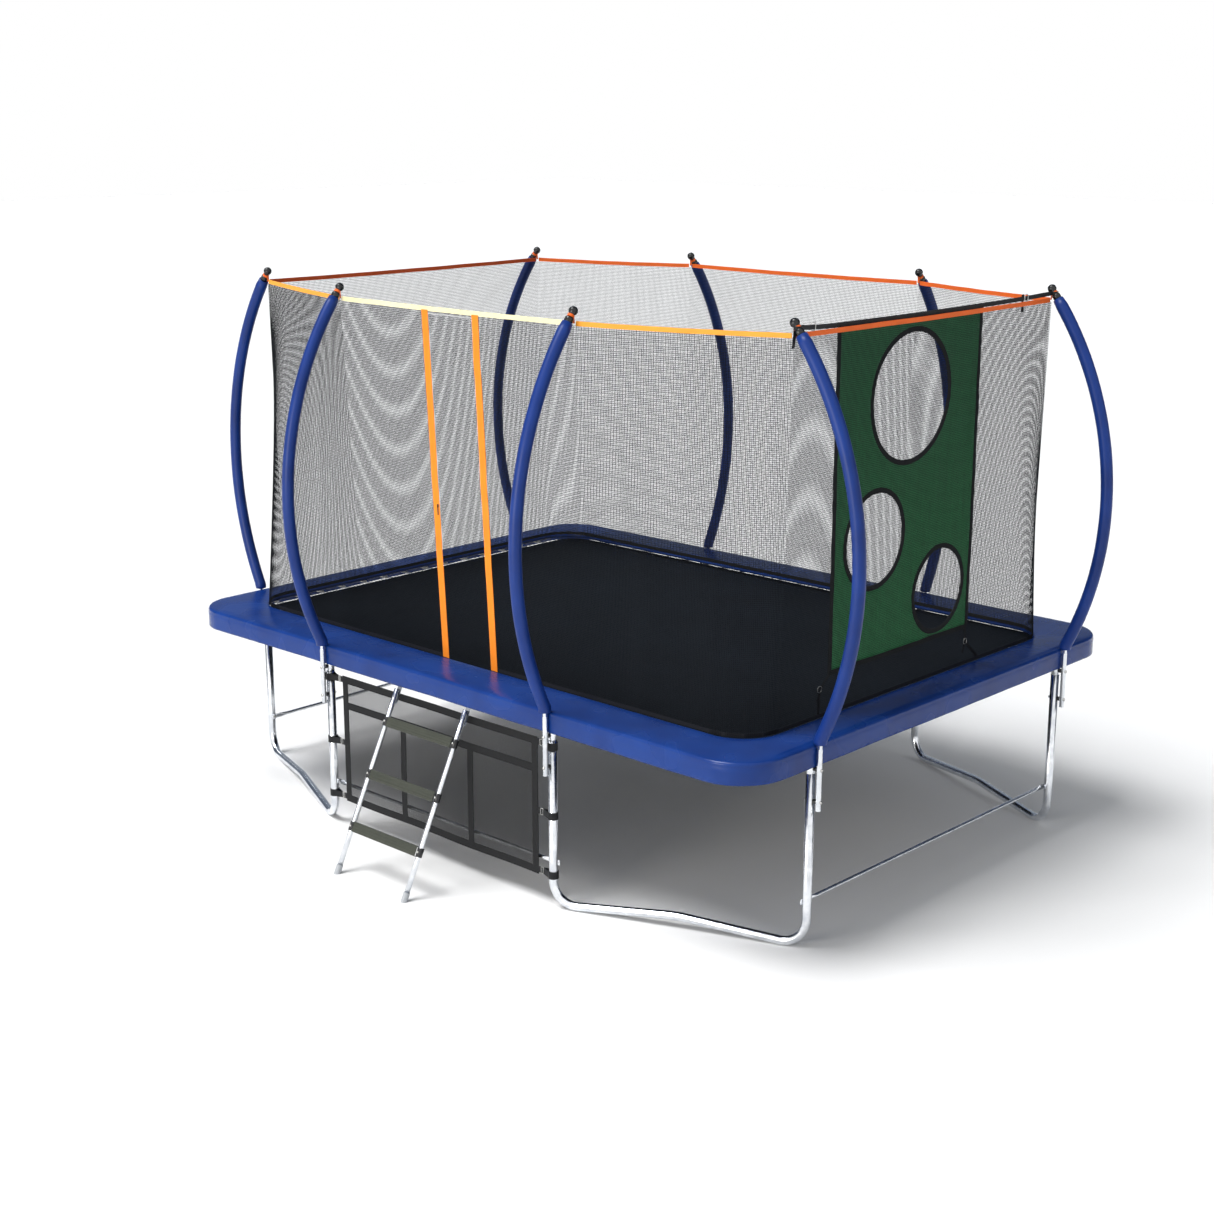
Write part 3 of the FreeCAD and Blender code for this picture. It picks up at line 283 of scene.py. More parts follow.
# Galvanised steel: hot-dipped zinc on drawn tube. It is a bright, slightly
# streaky satin metal with faint cloudy patches about 40 mm across.
def set_tones(ramp, low, high, start=0.0, stop=1.0):
    """Give a ramp of two colours its hex colours and their places."""
    for element, spot, tint in zip(ramp.color_ramp.elements, (start, stop), (low, high)):
        element.position, element.color = spot, linear(tint)


def dress(piece, node, body):
    """Say which solid a piece replaces, if any, and which body carries it."""
    if node:
        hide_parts(node)
    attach(piece, body)


galvanised, tree, output = new_material("galvanised_steel_tube")
place = add_node(tree, "ShaderNodeTexCoord")
clouds = add_node(tree, "ShaderNodeTexNoise",
                  {"Vector": place.outputs["Object"], "Scale": 25.0, "Detail": 3.0})
tone = add_node(tree, "ShaderNodeValToRGB", {"Fac": clouds.outputs["Fac"]})
set_tones(tone, "#d2d6dc", "#f1f3f6", 0.3, 0.75)
rough = add_node(tree, "ShaderNodeMapRange", {"Value": clouds.outputs["Fac"], "To Min": 0.16, "To Max": 0.26})
grain = add_node(tree, "ShaderNodeTexNoise", {"Vector": place.outputs["Object"], "Scale": 900.0})
bump = add_node(tree, "ShaderNodeBump", {"Height": grain.outputs["Fac"], "Strength": 0.02,
                                         "Distance": 0.0003})
metal = add_node(tree, "ShaderNodeBsdfPrincipled", {
    "Base Color": tone.outputs["Color"], "Metallic": 1.0, "Roughness": rough.outputs["Result"],
    "Normal": bump.outputs["Normal"]})
tree.links.new(metal.outputs[0], output.inputs["Surface"])

for corner, (first, second, sx, sy) in CORNERS.items():
    start = middle + Vector((sx * (LONG_LEG - OVERHANG), sy * half_width, RAIL_Z))
    end = middle + Vector((sx * half_length, sy * (SHORT_LEG - OVERHANG), RAIL_Z))
    centre = middle + Vector((sx * (half_length - CORNER_RADIUS), sy * (half_width - CORNER_RADIUS), RAIL_Z))
    bend = arc(centre, centre + Vector((0, sy * CORNER_RADIUS, 0)),
               centre + Vector((sx * CORNER_RADIUS, 0, 0)), math.pi / 2, 20)
    parts = [sweep([start] + bend + [end], TUBE / 2, TUBE_SIDES)]
    for name in (first, second):
        head, foot = post_spot(name, RAIL_Z - 0.004), post_spot(name, RAIL_Z - SOCKET_DROP)
        parts.append(sweep([foot, foot + UP * SOCKET_LIP, head],
                           [TUBE / 2 - 0.001, TUBE / 2, TUBE / 2], TUBE_SIDES))
        bead = circle(post_spot(name, RAIL_Z - TUBE * BEAD_DROP), TUBE / 2, 40)
        parts.append(sweep(bead, BEAD_WIRE, 6, closed=True))
    piece = build("corner_tube_" + corner, *gather(parts), galvanised)
    dress(piece, "frame_corner_" + corner, "frame")


# Straight rails: the same tube, closing the frame between the corners. They
# stay as they are built, and only take the galvanised finish.
def finish_solid(name, material):
    """Give a solid that stays as it is built its finish."""
    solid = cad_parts[name]
    solid.data.materials.clear()
    solid.data.materials.append(material)


for side in ("front", "back", "left", "right"):
    finish_solid("frame_rail_" + side, galvanised)


# Leg frames: each is one galvanised tube bent to a W, two uprights joined by
# a run along the floor that rises to a kink in the middle, so it stands on
# its two feet. The tops are drawn in and push up into the sockets.
FOOT_BEND, FOOT_RISE, KINK_LENGTH = 0.115, 0.036, 0.045
for corner, (first, second, sx, sy) in CORNERS.items():
    a, b = post_spot(first), post_spot(second)
    along = (b - a).normalized()
    span = (b - a).length
    kink = TUBE / 2 + FOOT_RISE
    drop = FOOT_BEND + TUBE / 2 - kink
    reach = span / 2 - FOOT_BEND
    slope = math.asin(FOOT_BEND / math.hypot(reach, drop)) - math.atan2(drop, reach)
    half = [(0.0, RAIL_Z - SOCKET_DROP)]
    for n in range(25):
        angle = (math.pi / 2 + slope) * n / 24
        half.append((FOOT_BEND - FOOT_BEND * math.cos(angle),
                     TUBE / 2 + FOOT_BEND - FOOT_BEND * math.sin(angle)))
    half.append((span / 2 - KINK_LENGTH, kink - KINK_LENGTH * math.tan(slope)))
    half.append((span / 2 - KINK_LENGTH / 2, kink - KINK_LENGTH * 0.62 * math.tan(slope)))
    path = [a + along * x + UP * z for x, z in half]
    path.append((a + b) / 2 + UP * (kink - KINK_LENGTH * 0.5 * math.tan(slope)))
    path += [b - along * x + UP * z for x, z in reversed(half)]
    piece = build("leg_tube_" + corner, *sweep(path, TUBE / 2, TUBE_SIDES), galvanised)
    dress(piece, "leg_frame_" + corner, "frame")


# Lower braces: thinner galvanised tubes between neighbouring legs, about a
# hand above the floor. Their ends are pressed flat and bolted to the inner
# side of the legs.
BRACE_Z, BRACE_TUBE, BRACE_FLAT, BRACE_THIN = 0.220, 0.019, 0.026, 0.004
FLAT_LENGTH, OVERRUN, SEAT, BRACE_SIDES = 0.060, 0.018, 0.0003, 24
inwards = TUBE / 2 + SEAT + BRACE_THIN / 2
brace_runs = {
    "front": (Vector((1, 0, 0)), Vector((0, inwards - half_width, 0)), LONG_LEG),
    "back": (Vector((1, 0, 0)), Vector((0, half_width - inwards, 0)), LONG_LEG),
    "left": (Vector((0, 1, 0)), Vector((inwards - half_length, 0, 0)), SHORT_LEG),
    "right": (Vector((0, 1, 0)), Vector((half_length - inwards, 0, 0)), SHORT_LEG),
}
for side, (along, spot, run) in brace_runs.items():
    end = run + OVERRUN
    flat = end - FLAT_LENGTH
    stations = [(flat - 2 * BRACE_FLAT * t, t * t * (3 - 2 * t)) for t in (0, 0.1, 0.25, 0.45, 0.65, 0.85,
                                                                           1.0)]
    profile = [(end, 0.0)] + stations
    profile = [(-x, e) for x, e in profile] + [(x, e) for x, e in reversed(profile)]
    points = []
    across = UP.cross(along)
    for x, eased in profile:
        wide = BRACE_FLAT / 2 + (BRACE_TUBE / 2 - BRACE_FLAT / 2) * eased
        thin = BRACE_THIN / 2 + (BRACE_TUBE / 2 - BRACE_THIN / 2) * eased
        points += circle(middle + spot + along * x + UP * BRACE_Z, 1, BRACE_SIDES, across * thin, UP * wide)
    faces = inside_out(ring_faces(len(profile), BRACE_SIDES))
    piece = build("brace_tube_" + side, points, faces, galvanised)
    dress(piece, "lower_brace_" + side, "frame")


# Enclosure poles: 25 mm steel tube. The lower length is straight and bolted
# beside a leg, the upper one is bent outwards just above the pad and bows
# back in over the mat. Only the lower length shows.
POLE_TUBE, POLE_OFFSET, POLE_BOTTOM = 0.025, 0.047, 0.667
POLE_WALL, POLE_LIP, POLE_SIDES = 0.0018, 0.0006, 24
PAD_RISE, PAD_THICK = 0.025, 0.022
PAD_TOP = RAIL_Z + PAD_RISE + PAD_THICK
BEND_RADIUS, BEND_TURN, BOW_RADIUS = 0.080, math.radians(26.1), 1.644
CAP_Z, CAP_LENGTH = 2.777, 0.062
bow_across = BEND_RADIUS - (BEND_RADIUS + BOW_RADIUS) * math.cos(BEND_TURN)
bow_height = PAD_TOP + SEAT + (BEND_RADIUS + BOW_RADIUS) * math.sin(BEND_TURN)
bow_end = math.asin((CAP_Z - bow_height) / math.hypot(BOW_RADIUS, CAP_LENGTH)) - math.atan2(CAP_LENGTH,
                                                                                            BOW_RADIUS)


def bow(steps):
    """The pole's curve above the pad: (outwards, height) points, ending at the foam's top."""
    points = []
    for n in range(7):
        angle = BEND_TURN * n / 6
        points.append((BEND_RADIUS * (1 - math.cos(angle)), PAD_TOP + SEAT + BEND_RADIUS * math.sin(angle)))
    for n in range(1, steps + 1):
        angle = -BEND_TURN + (bow_end + BEND_TURN) * n / steps
        points.append((bow_across + BOW_RADIUS * math.cos(angle), bow_height + BOW_RADIUS * math.sin(angle)))
    return points


tip_across, tip_height = bow(1)[-1]
tip_lean = -bow_end
tip_along = (math.sin(tip_lean), math.cos(tip_lean))
ball_across = tip_across + CAP_LENGTH * tip_along[0]


def pole_point(name, across, height):
    """A point of a post's pole, some way outwards from its straight foot."""
    return post_spot(name, height, POLE_OFFSET + across)


lower_tubes = []
for name in POSTS:
    low, high = pole_point(name, 0, POLE_BOTTOM), pole_point(name, 0, RAIL_Z + PAD_RISE)
    outer = [POLE_TUBE / 2 - POLE_LIP, POLE_TUBE / 2, POLE_TUBE / 2]
    inner = POLE_TUBE / 2 - POLE_WALL
    lower_tubes.append(sweep([low, low + UP * 0.001, high], outer, POLE_SIDES, capped=False))
    points, faces = sweep([low, high], inner, POLE_SIDES, capped=False)
    lower_tubes.append((points, inside_out(faces)))
    rim = ring_faces(2, POLE_SIDES, capped=False)
    for spot, radius, faces in ((low, outer[0], inside_out(rim)), (high, outer[-1], rim)):
        lower_tubes.append((circle(spot, radius, POLE_SIDES) + circle(spot, inner, POLE_SIDES), faces))
piece = build("pole_tubes_lower", *gather(lower_tubes), galvanised)
dress(piece, "pole_lower_tubes", "frame")
finish_solid("pole_upper_tubes", galvanised)


# Pole fixings: at two heights a carriage bolt goes through pole, spacer and
# leg. Each has a domed zinc head outside, a black moulded spacer with a
# saddle for each tube, and a flanged nut on the leg's inner side.
BOLT_HEIGHTS = (0.856, 0.707)


def mottled(name, scale, low, high, shader, detail=2.0):
    """A material whose colour wavers finely between two tones."""
    material, tree, output = new_material(name)
    place = add_node(tree, "ShaderNodeTexCoord")
    specks = add_node(tree, "ShaderNodeTexNoise", {
        "Vector": place.outputs["Object"], "Scale": scale, "Detail": detail})
    tone = add_node(tree, "ShaderNodeValToRGB", {"Fac": specks.outputs["Fac"]})
    set_tones(tone, low, high)
    skin = add_node(tree, "ShaderNodeBsdfPrincipled", {"Base Color": tone.outputs["Color"], **shader})
    tree.links.new(skin.outputs[0], output.inputs["Surface"])
    return material


zinc = mottled("zinc_plated_fastener", 300.0, "#8f9296", "#e6e4dc", {"Metallic": 1.0, "Roughness": 0.28}, 4.0)


def turned_part(profile, spot, axis, sides=20):
    """A turned solid of (radius, distance) stations along an axis from a spot."""
    axis = Vector(axis).normalized()
    across = axis.orthogonal().normalized()
    points = []
    for radius, distance in profile:
        points += circle(Vector(spot) + axis * distance, max(radius, 1e-5), sides, across, axis.cross(across))
    return points, ring_faces(len(profile), sides)


def nut_part(spot, axis, size=0.015, height=0.006):
    """A hexagon nut with a round flange, standing along an axis from a spot."""
    body = turned_part([(size / 2 * 1.05, 0.0012), (size / 2 * 1.05, height - 0.001),
                        (size / 2 * 0.92, height)],
                       spot, axis, 6)
    flange = turned_part([(size * 0.62, 0), (size * 0.62, 0.0012), (size * 0.5, 0.002)], spot, axis, 20)
    stud = turned_part([(0.0036, height - 0.001), (0.0036, height + 0.003), (0.003, height + 0.0038)], spot,
                       axis, 12)
    return gather([body, flange, stud])


heads, nuts, spacers = [], [], []
gap = POLE_OFFSET - TUBE / 2 - POLE_TUBE / 2
DOME = [(0.0075, -0.002), (0.0085, 0.0), (0.0083, 0.0012), (0.0068, 0.003), (0.0038, 0.0046),
        (0.0005, 0.0051)]
SADDLE = [(0.0092, 0), (0.0108, 0.0015), (0.0108, gap + 0.0045), (0.0092, gap + 0.006)]
for name in POSTS:
    face = outward(name)
    for level in BOLT_HEIGHTS:
        heads.append(turned_part(DOME, post_spot(name, level, POLE_OFFSET + POLE_TUBE / 2), face))
        nuts.append(nut_part(post_spot(name, level, -TUBE / 2 - SEAT), -face))
        spacers.append(turned_part(SADDLE, post_spot(name, level, TUBE / 2 - 0.003), face, 24))
piece = build("pole_bolt_heads", *gather(heads), zinc)
dress(piece, "pole_bolts", "frame")
piece = build("pole_flange_nuts", *gather(nuts), zinc, smooth=False)
dress(piece, "pole_nuts", "frame")

# Black moulded plastic: injection-moulded polypropylene with a soft gloss and
# a very fine spark-eroded grain.
black_plastic, tree, output = new_material("black_moulded_plastic")
place = add_node(tree, "ShaderNodeTexCoord")
grain = add_node(tree, "ShaderNodeTexNoise",
                 {"Vector": place.outputs["Object"], "Scale": 1400.0, "Detail": 2.0})
bump = add_node(tree, "ShaderNodeBump", {"Height": grain.outputs["Fac"], "Strength": 0.12,
                                         "Distance": 0.0003})
shade = add_node(tree, "ShaderNodeTexNoise", {"Vector": place.outputs["Object"], "Scale": 40.0})
rough = add_node(tree, "ShaderNodeMapRange", {"Value": shade.outputs["Fac"], "To Min": 0.22, "To Max": 0.38})
plastic = add_node(tree, "ShaderNodeBsdfPrincipled", {
    "Base Color": linear("#15161a"), "Roughness": rough.outputs["Result"], "Normal": bump.outputs["Normal"]})
tree.links.new(plastic.outputs[0], output.inputs["Surface"])
piece = build("pole_saddle_spacers", *gather(spacers), black_plastic)
dress(piece, "pole_spacers", "frame")

brace_nuts = [nut_part(post_spot(name, BRACE_Z, -TUBE / 2 - 2 * SEAT - BRACE_THIN), -outward(name))
              for name in POSTS]
piece = build("brace_flange_nuts", *gather(brace_nuts), zinc, smooth=False)
dress(piece, "brace_bolts", "frame")


# Jumping mat: woven black polypropylene, cut with round corners and edged
# with a doubled band of webbing that the spring loops are sewn into.
MAT_GAP, MAT_CORNER, MAT_THICK, MAT_RINGS = 0.175, 0.150, 0.003, 24


def round_outline(half_x, half_y, radius, corner_steps=12, side_steps=1):
    """Points of a rectangle with round corners about the middle, anticlockwise, with outward normals."""
    points = []
    for n, (sx, sy) in enumerate(((1, -1), (1, 1), (-1, 1), (-1, -1))):
        centre = Vector((sx * (half_x - radius), sy * (half_y - radius), 0))
        for k in range(corner_steps + 1):
            angle = math.radians(90 * n - 90 + 90 * k / corner_steps)
            face = Vector((math.cos(angle), math.sin(angle), 0))
            points.append((centre + face * radius, face))
    spread = []
    for n, (spot, face) in enumerate(points):
        following = points[(n + 1) % len(points)][0]
        spread.append((spot, face))
        if (n + 1) % (corner_steps + 1) == 0:
            spread += [(spot.lerp(following, k / side_steps), face) for k in range(1, side_steps)]
    return spread


def made_outward(item, weld=0.0):
    """Normals worked out again for a finished piece, after welding points that meet."""
    fix = bmesh.new()
    fix.from_mesh(item.data)
    if weld:
        bmesh.ops.remove_doubles(fix, verts=fix.verts, dist=weld)
    bmesh.ops.recalc_face_normals(fix, faces=fix.faces)
    fix.to_mesh(item.data)
    fix.free()
    return item


woven, tree, output = new_material("woven_black_polypropylene")
place = add_node(tree, "ShaderNodeTexCoord")
# Tape yarns 2 mm wide are too fine to show, so the weave is drawn 8 mm wide.
across = add_node(tree, "ShaderNodeTexWave", {"Vector": place.outputs["Object"], "Scale": 62.0},
                  bands_direction="X")
down = add_node(tree, "ShaderNodeTexWave", {"Vector": place.outputs["Object"], "Scale": 62.0},
                bands_direction="Y")
weave = add_node(tree, "ShaderNodeMath", {0: across.outputs["Fac"], 1: down.outputs["Fac"]},
                 operation="MULTIPLY")
bump = add_node(tree, "ShaderNodeBump", {"Height": weave.outputs[0], "Strength": 0.35, "Distance": 0.001})
wear = add_node(tree, "ShaderNodeTexNoise", {"Vector": place.outputs["Object"], "Scale": 3.0, "Detail": 5.0})
tone = add_node(tree, "ShaderNodeValToRGB", {"Fac": wear.outputs["Fac"]})
set_tones(tone, "#060a10", "#10171f")
cloth = add_node(tree, "ShaderNodeBsdfPrincipled", {
    "Base Color": tone.outputs["Color"], "Roughness": 0.6, "Normal": bump.outputs["Normal"],
    "Specular IOR Level": 0.12})
tree.links.new(cloth.outputs[0], output.inputs["Surface"])

edge_x, edge_y = half_length - MAT_GAP, half_width - MAT_GAP
rim = [spot for spot, face in round_outline(edge_x, edge_y, MAT_CORNER)]
points, faces = [], []
for level in (RAIL_Z + MAT_THICK, RAIL_Z):
    for n in range(MAT_RINGS + 1):
        points += [middle + spot * (1 - n / MAT_RINGS) + UP * level for spot in rim]
count = len(rim)
layer = (MAT_RINGS + 1) * count
sheet_faces = ring_faces(MAT_RINGS + 1, count, capped=False)
faces += sheet_faces + [tuple(layer + k for k in reversed(face)) for face in sheet_faces]
faces += [(k, layer + k, layer + (k + 1) % count, (k + 1) % count) for k in range(count)]
mat = made_outward(build("jumping_mat", points, faces, woven, smooth=False), weld=0.00005)
dress(mat, "mat", "mat")


# Webbing under the mat's edge: black polypropylene tape, sewn on in two
# layers. It stays as it is built. Steel loops, bent from 4 mm wire to a
# triangle, are sewn into it, one for each spring.
def webbing(name, hex_colour, roughness=0.55):
    """Woven tape: fine ribs of the weave and a slight unevenness of the dye."""
    material, tree, output = new_material(name)
    place = add_node(tree, "ShaderNodeTexCoord")
    ribs = add_node(tree, "ShaderNodeTexNoise",
                    {"Vector": place.outputs["Object"], "Scale": 620.0, "Detail": 2.0})
    bump = add_node(tree, "ShaderNodeBump",
                    {"Height": ribs.outputs["Fac"], "Strength": 0.35, "Distance": 0.0008})
    dye = add_node(tree, "ShaderNodeTexNoise",
                   {"Vector": place.outputs["Object"], "Scale": 9.0, "Detail": 4.0})
    shade = add_node(tree, "ShaderNodeMapRange",
                     {"Value": dye.outputs["Fac"], "To Min": 0.82, "To Max": 1.12})
    tone = add_node(tree, "ShaderNodeMix", {"Factor": 1.0}, data_type="RGBA", blend_type="MULTIPLY")
    tone.inputs[6].default_value = linear(hex_colour)
    tree.links.new(shade.outputs["Result"], tone.inputs[7])
    cloth = add_node(tree, "ShaderNodeBsdfPrincipled", {
        "Base Color": tone.outputs[2], "Roughness": roughness, "Normal": bump.outputs["Normal"],
        "Specular IOR Level": 0.25})
    tree.links.new(cloth.outputs[0], output.inputs["Surface"])
    return material


black_webbing = webbing("black_polypropylene_webbing", "#17181b")
finish_solid("mat_webbing", black_webbing)

spring_sides = {
    "front": (22, 0.146, Vector((1, 0, 0)), Vector((0, -1, 0)), edge_y),
    "back": (22, 0.146, Vector((1, 0, 0)), Vector((0, 1, 0)), edge_y),
    "left": (14, 0.160, Vector((0, 1, 0)), Vector((-1, 0, 0)), edge_x),
    "right": (14, 0.160, Vector((0, 1, 0)), Vector((1, 0, 0)), edge_x),
}
LOOP_REACH, LOOP_HALF, LOOP_WIRE = 0.030, 0.016, 0.002
loops = []
for count, pitch, along, out, edge in spring_sides.values():
    for n in range(count):
        foot = middle + along * ((n - (count - 1) / 2) * pitch) + out * edge + UP * RAIL_Z
        line = [foot - out * 0.012 - along * LOOP_HALF, foot - out * 0.012 + along * LOOP_HALF,
                foot + along * LOOP_HALF * 0.9, foot + out * LOOP_REACH * 0.8 + along * 0.004,
                foot + out * LOOP_REACH * 0.95, foot + out * LOOP_REACH * 0.8 - along * 0.004,
                foot - along * LOOP_HALF * 0.9]
        loops.append(sweep(line, LOOP_WIRE, 6, closed=True))
piece = build("mat_wire_loops", *gather(loops), zinc)
dress(piece, "mat_v_rings", "mat")


# Springs: close-wound coils of zinc-plated wire with a hook at each end, from
# the mat's loops to the rail.
def empty_tree(name, inputs=()):
    """A node tree that takes points and some numbers, with its input and output nodes."""
    group = bpy.data.node_groups.new(name, "GeometryNodeTree")
    group.interface.new_socket("Points", in_out="INPUT", socket_type="NodeSocketGeometry")
    for key, value in inputs:
        group.interface.new_socket(key, in_out="INPUT", socket_type="NodeSocketFloat").default_value = value
    group.interface.new_socket("Result", in_out="OUTPUT", socket_type="NodeSocketGeometry")
    return group, group.nodes.new("NodeGroupInput"), group.nodes.new("NodeGroupOutput")


def end_tree(group, end, geometry, material):
    """Make a tree's copies real, give them their material and hand them out."""
    real = add_node(group, "GeometryNodeRealizeInstances", {"Geometry": geometry})
    finish = add_node(group, "GeometryNodeSetMaterial", {"Geometry": real.outputs[0], "Material": material})
    group.links.new(finish.outputs[0], end.inputs[0])


def set_on_points(group, start, end, shape, material):
    """End a tree with a copy of a shape on each point, turned by the point's turn attribute."""
    turn = add_node(group, "GeometryNodeInputNamedAttribute", {"Name": "turn"}, data_type="FLOAT_VECTOR")
    placed = add_node(group, "GeometryNodeInstanceOnPoints", {
        "Points": start.outputs["Points"], "Instance": shape, "Rotation": turn.outputs["Attribute"]})
    end_tree(group, end, placed.outputs[0], material)


def grown(name, group, points, turn=None, edges=(), inputs=None):
    """Run a node tree on loose points or edges and keep the result as a plain mesh."""
    mesh = bpy.data.meshes.new(name + "_seed")
    mesh.from_pydata([tuple(p) for p in points], list(edges), [])
    if turn is not None:
        layer = mesh.attributes.new("turn", "FLOAT_VECTOR", "POINT")
        layer.data.foreach_set("vector", list(turn) * len(points))
    seed = bpy.data.objects.new(name + "_seed", mesh)
    bpy.context.collection.objects.link(seed)
    modifier = seed.modifiers.new("grow", "NODES")
    modifier.node_group = group
    for item in group.interface.items_tree:
        if item.item_type == "SOCKET" and item.in_out == "INPUT" and inputs and item.name in inputs:
            modifier[item.identifier] = inputs[item.name]
    graph = bpy.context.evaluated_depsgraph_get()
    result = bpy.data.meshes.new_from_object(seed.evaluated_get(graph), depsgraph=graph)
    bpy.data.objects.remove(seed)
    result.name = name
    for polygon in result.polygons:
        polygon.use_smooth = True
    item = bpy.data.objects.new(name, result)
    bpy.context.collection.objects.link(item)
    return item


def spring_tree():
    """A close-wound coil with a straight hook at each end, set on points."""
    group, start, end = empty_tree("coil_spring", (
        ("Turns", 20.0), ("Coil radius", 0.0075), ("Coil length", 0.098), ("Wire", 0.0014), ("Hook", 0.012)))
    coil = add_node(group, "GeometryNodeCurveSpiral", {
        "Resolution": 9, "Rotations": start.outputs["Turns"], "Start Radius": start.outputs["Coil radius"],
        "End Radius": start.outputs["Coil radius"], "Height": start.outputs["Coil length"]})
    low = add_node(group, "ShaderNodeMath", {0: start.outputs["Hook"], 1: -1.0}, operation="MULTIPLY")
    high = add_node(group, "ShaderNodeMath", {0: start.outputs["Coil length"], 1: start.outputs["Hook"]},
                    operation="ADD")
    joined = group.nodes.new("GeometryNodeJoinGeometry")
    for level, tip in ((0.0, low.outputs[0]), (start.outputs["Coil length"], high.outputs[0])):
        a = add_node(group, "ShaderNodeCombineXYZ", {"X": start.outputs["Coil radius"], "Z": level})
        b = add_node(group, "ShaderNodeCombineXYZ", {"Z": tip})
        line = add_node(group, "GeometryNodeCurvePrimitiveLine", {"Start": a.outputs[0], "End": b.outputs[0]})
        group.links.new(line.outputs[0], joined.inputs[0])
    group.links.new(coil.outputs[0], joined.inputs[0])
    profile = add_node(group, "GeometryNodeCurvePrimitiveCircle",
                       {"Resolution": 5, "Radius": start.outputs["Wire"]})
    wire = add_node(group, "GeometryNodeCurveToMesh", {
        "Curve": joined.outputs[0], "Profile Curve": profile.outputs[0], "Fill Caps": True})
    set_on_points(group, start, end, wire.outputs[0], zinc)
    return group


coil_springs = spring_tree()
SPRING_GAP = 0.010
for side, (count, pitch, along, out, edge) in spring_sides.items():
    turn = out.to_track_quat("Z", "Y").to_euler()
    seeds = [middle + along * ((n - (count - 1) / 2) * pitch) + out * (edge + LOOP_REACH + SPRING_GAP)
             + UP * RAIL_Z for n in range(count)]
    piece = grown("springs_" + side, coil_springs, seeds, turn)
    if side == "front":
        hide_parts("springs")
    reach = middle + UP * RAIL_Z
    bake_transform(piece)


# Safety pad: blue glossy PVC cloth sewn round a foam ring that covers rail
# and springs, with a skirt that hangs down over the frame outside. The foam
# crowns the top a little and the cloth puckers along its seams.
PAD_OVERHANG, PAD_END, PAD_SIDE, PAD_INNER_CORNER = 0.031, 0.211, 0.270, 0.200
SKIRT, CLOTH = 0.082, 0.004
pad_x, pad_y = half_length + PAD_OVERHANG, half_width + PAD_OVERHANG
inner_x, inner_y = pad_x - PAD_END, pad_y - PAD_SIDE
outer_line = round_outline(pad_x, pad_y, CORNER_RADIUS + PAD_OVERHANG, 16, 56)
inner_line = round_outline(inner_x, inner_y, PAD_INNER_CORNER, 16, 56)
pad_low = RAIL_Z + PAD_RISE
skirt_foot = pad_low - SKIRT


def vinyl(name, deep, pale, roughness=0.3):
    """PVC-coated cloth: a fine scrim shows through, with soft creases some 60 to 200 mm apart, painted shade
    in their hollows and painted highlight on their crowns.
    """
    material, tree, output = new_material(name)
    place = add_node(tree, "ShaderNodeTexCoord")
    scrim = add_node(tree, "ShaderNodeTexNoise",
                     {"Vector": place.outputs["Object"], "Scale": 700.0, "Detail": 1.0})
    creases = add_node(tree, "ShaderNodeTexNoise", {
        "Vector": place.outputs["Object"], "Scale": 5.0, "Detail": 1.0})
    low = add_node(tree, "ShaderNodeBump",
                   {"Height": creases.outputs["Fac"], "Strength": 0.12, "Distance": 0.008})
    fine = add_node(tree, "ShaderNodeBump", {
        "Height": scrim.outputs["Fac"], "Strength": 0.15, "Distance": 0.0005,
        "Normal": low.outputs["Normal"]})
    # Painted shade and highlight: the colour follows the creases' height, deeper in the hollows and paler on
    # the crowns.
    tone = add_node(tree, "ShaderNodeValToRGB", {"Fac": creases.outputs["Fac"]})
    set_tones(tone, deep, pale, 0.3, 0.7)
    rough = add_node(tree, "ShaderNodeMapRange", {
        "Value": creases.outputs["Fac"], "To Min": roughness - 0.06, "To Max": roughness + 0.1})
    skin = add_node(tree, "ShaderNodeBsdfPrincipled", {
        "Base Color": tone.outputs["Color"], "Roughness": rough.outputs["Result"],
        "Normal": fine.outputs["Normal"],
        "Specular IOR Level": 0.27})
    tree.links.new(skin.outputs[0], output.inputs["Surface"])
    return material


pad_rows = []
for inset, level, puff in (
    (CLOTH, skirt_foot, 1.0), (0.0, skirt_foot, 1.0), (0.0, skirt_foot + 0.010, 1.0),
    (0.0, skirt_foot + 0.030, 0.8),
    (0.0, skirt_foot + 0.055, 0.5), (-0.001, pad_low - 0.006, 0.2), (0.0015, pad_low, 0.0),
    (0.0, pad_low + 0.006, 0.1),
    (0.002, pad_low + 0.013, 0.0), (0.007, PAD_TOP - 0.003, 0.0), (0.014, PAD_TOP - 0.0008, 0.0),
    (0.024, PAD_TOP, 0.0),
):
    pad_rows.append(("outer", inset, level, puff))
for share in (0.12, 0.2, 0.3, 0.42, 0.55, 0.68, 0.8, 0.9):
    pad_rows.append(("between", share, PAD_TOP + 0.0035 * math.sin(math.pi * share), 0.6))
for inset, level in ((-0.012, PAD_TOP), (-0.004, PAD_TOP - 0.002), (0.0, PAD_TOP - 0.008),
                     (0.0, pad_low + 0.005),
                     (-0.004, pad_low), (-0.02, pad_low - 0.0005)):
    pad_rows.append(("inner", inset, level, 0.0))
for share in (0.7, 0.4, 0.1):
    pad_rows.append(("between", share, pad_low - 0.0005, 0.0))
pad_rows.append(("outer", 0.008, pad_low - 0.0005, 0.0))
pad_rows.append(("outer", CLOTH, pad_low - 0.012, 0.3))
points = []
count = len(outer_line)
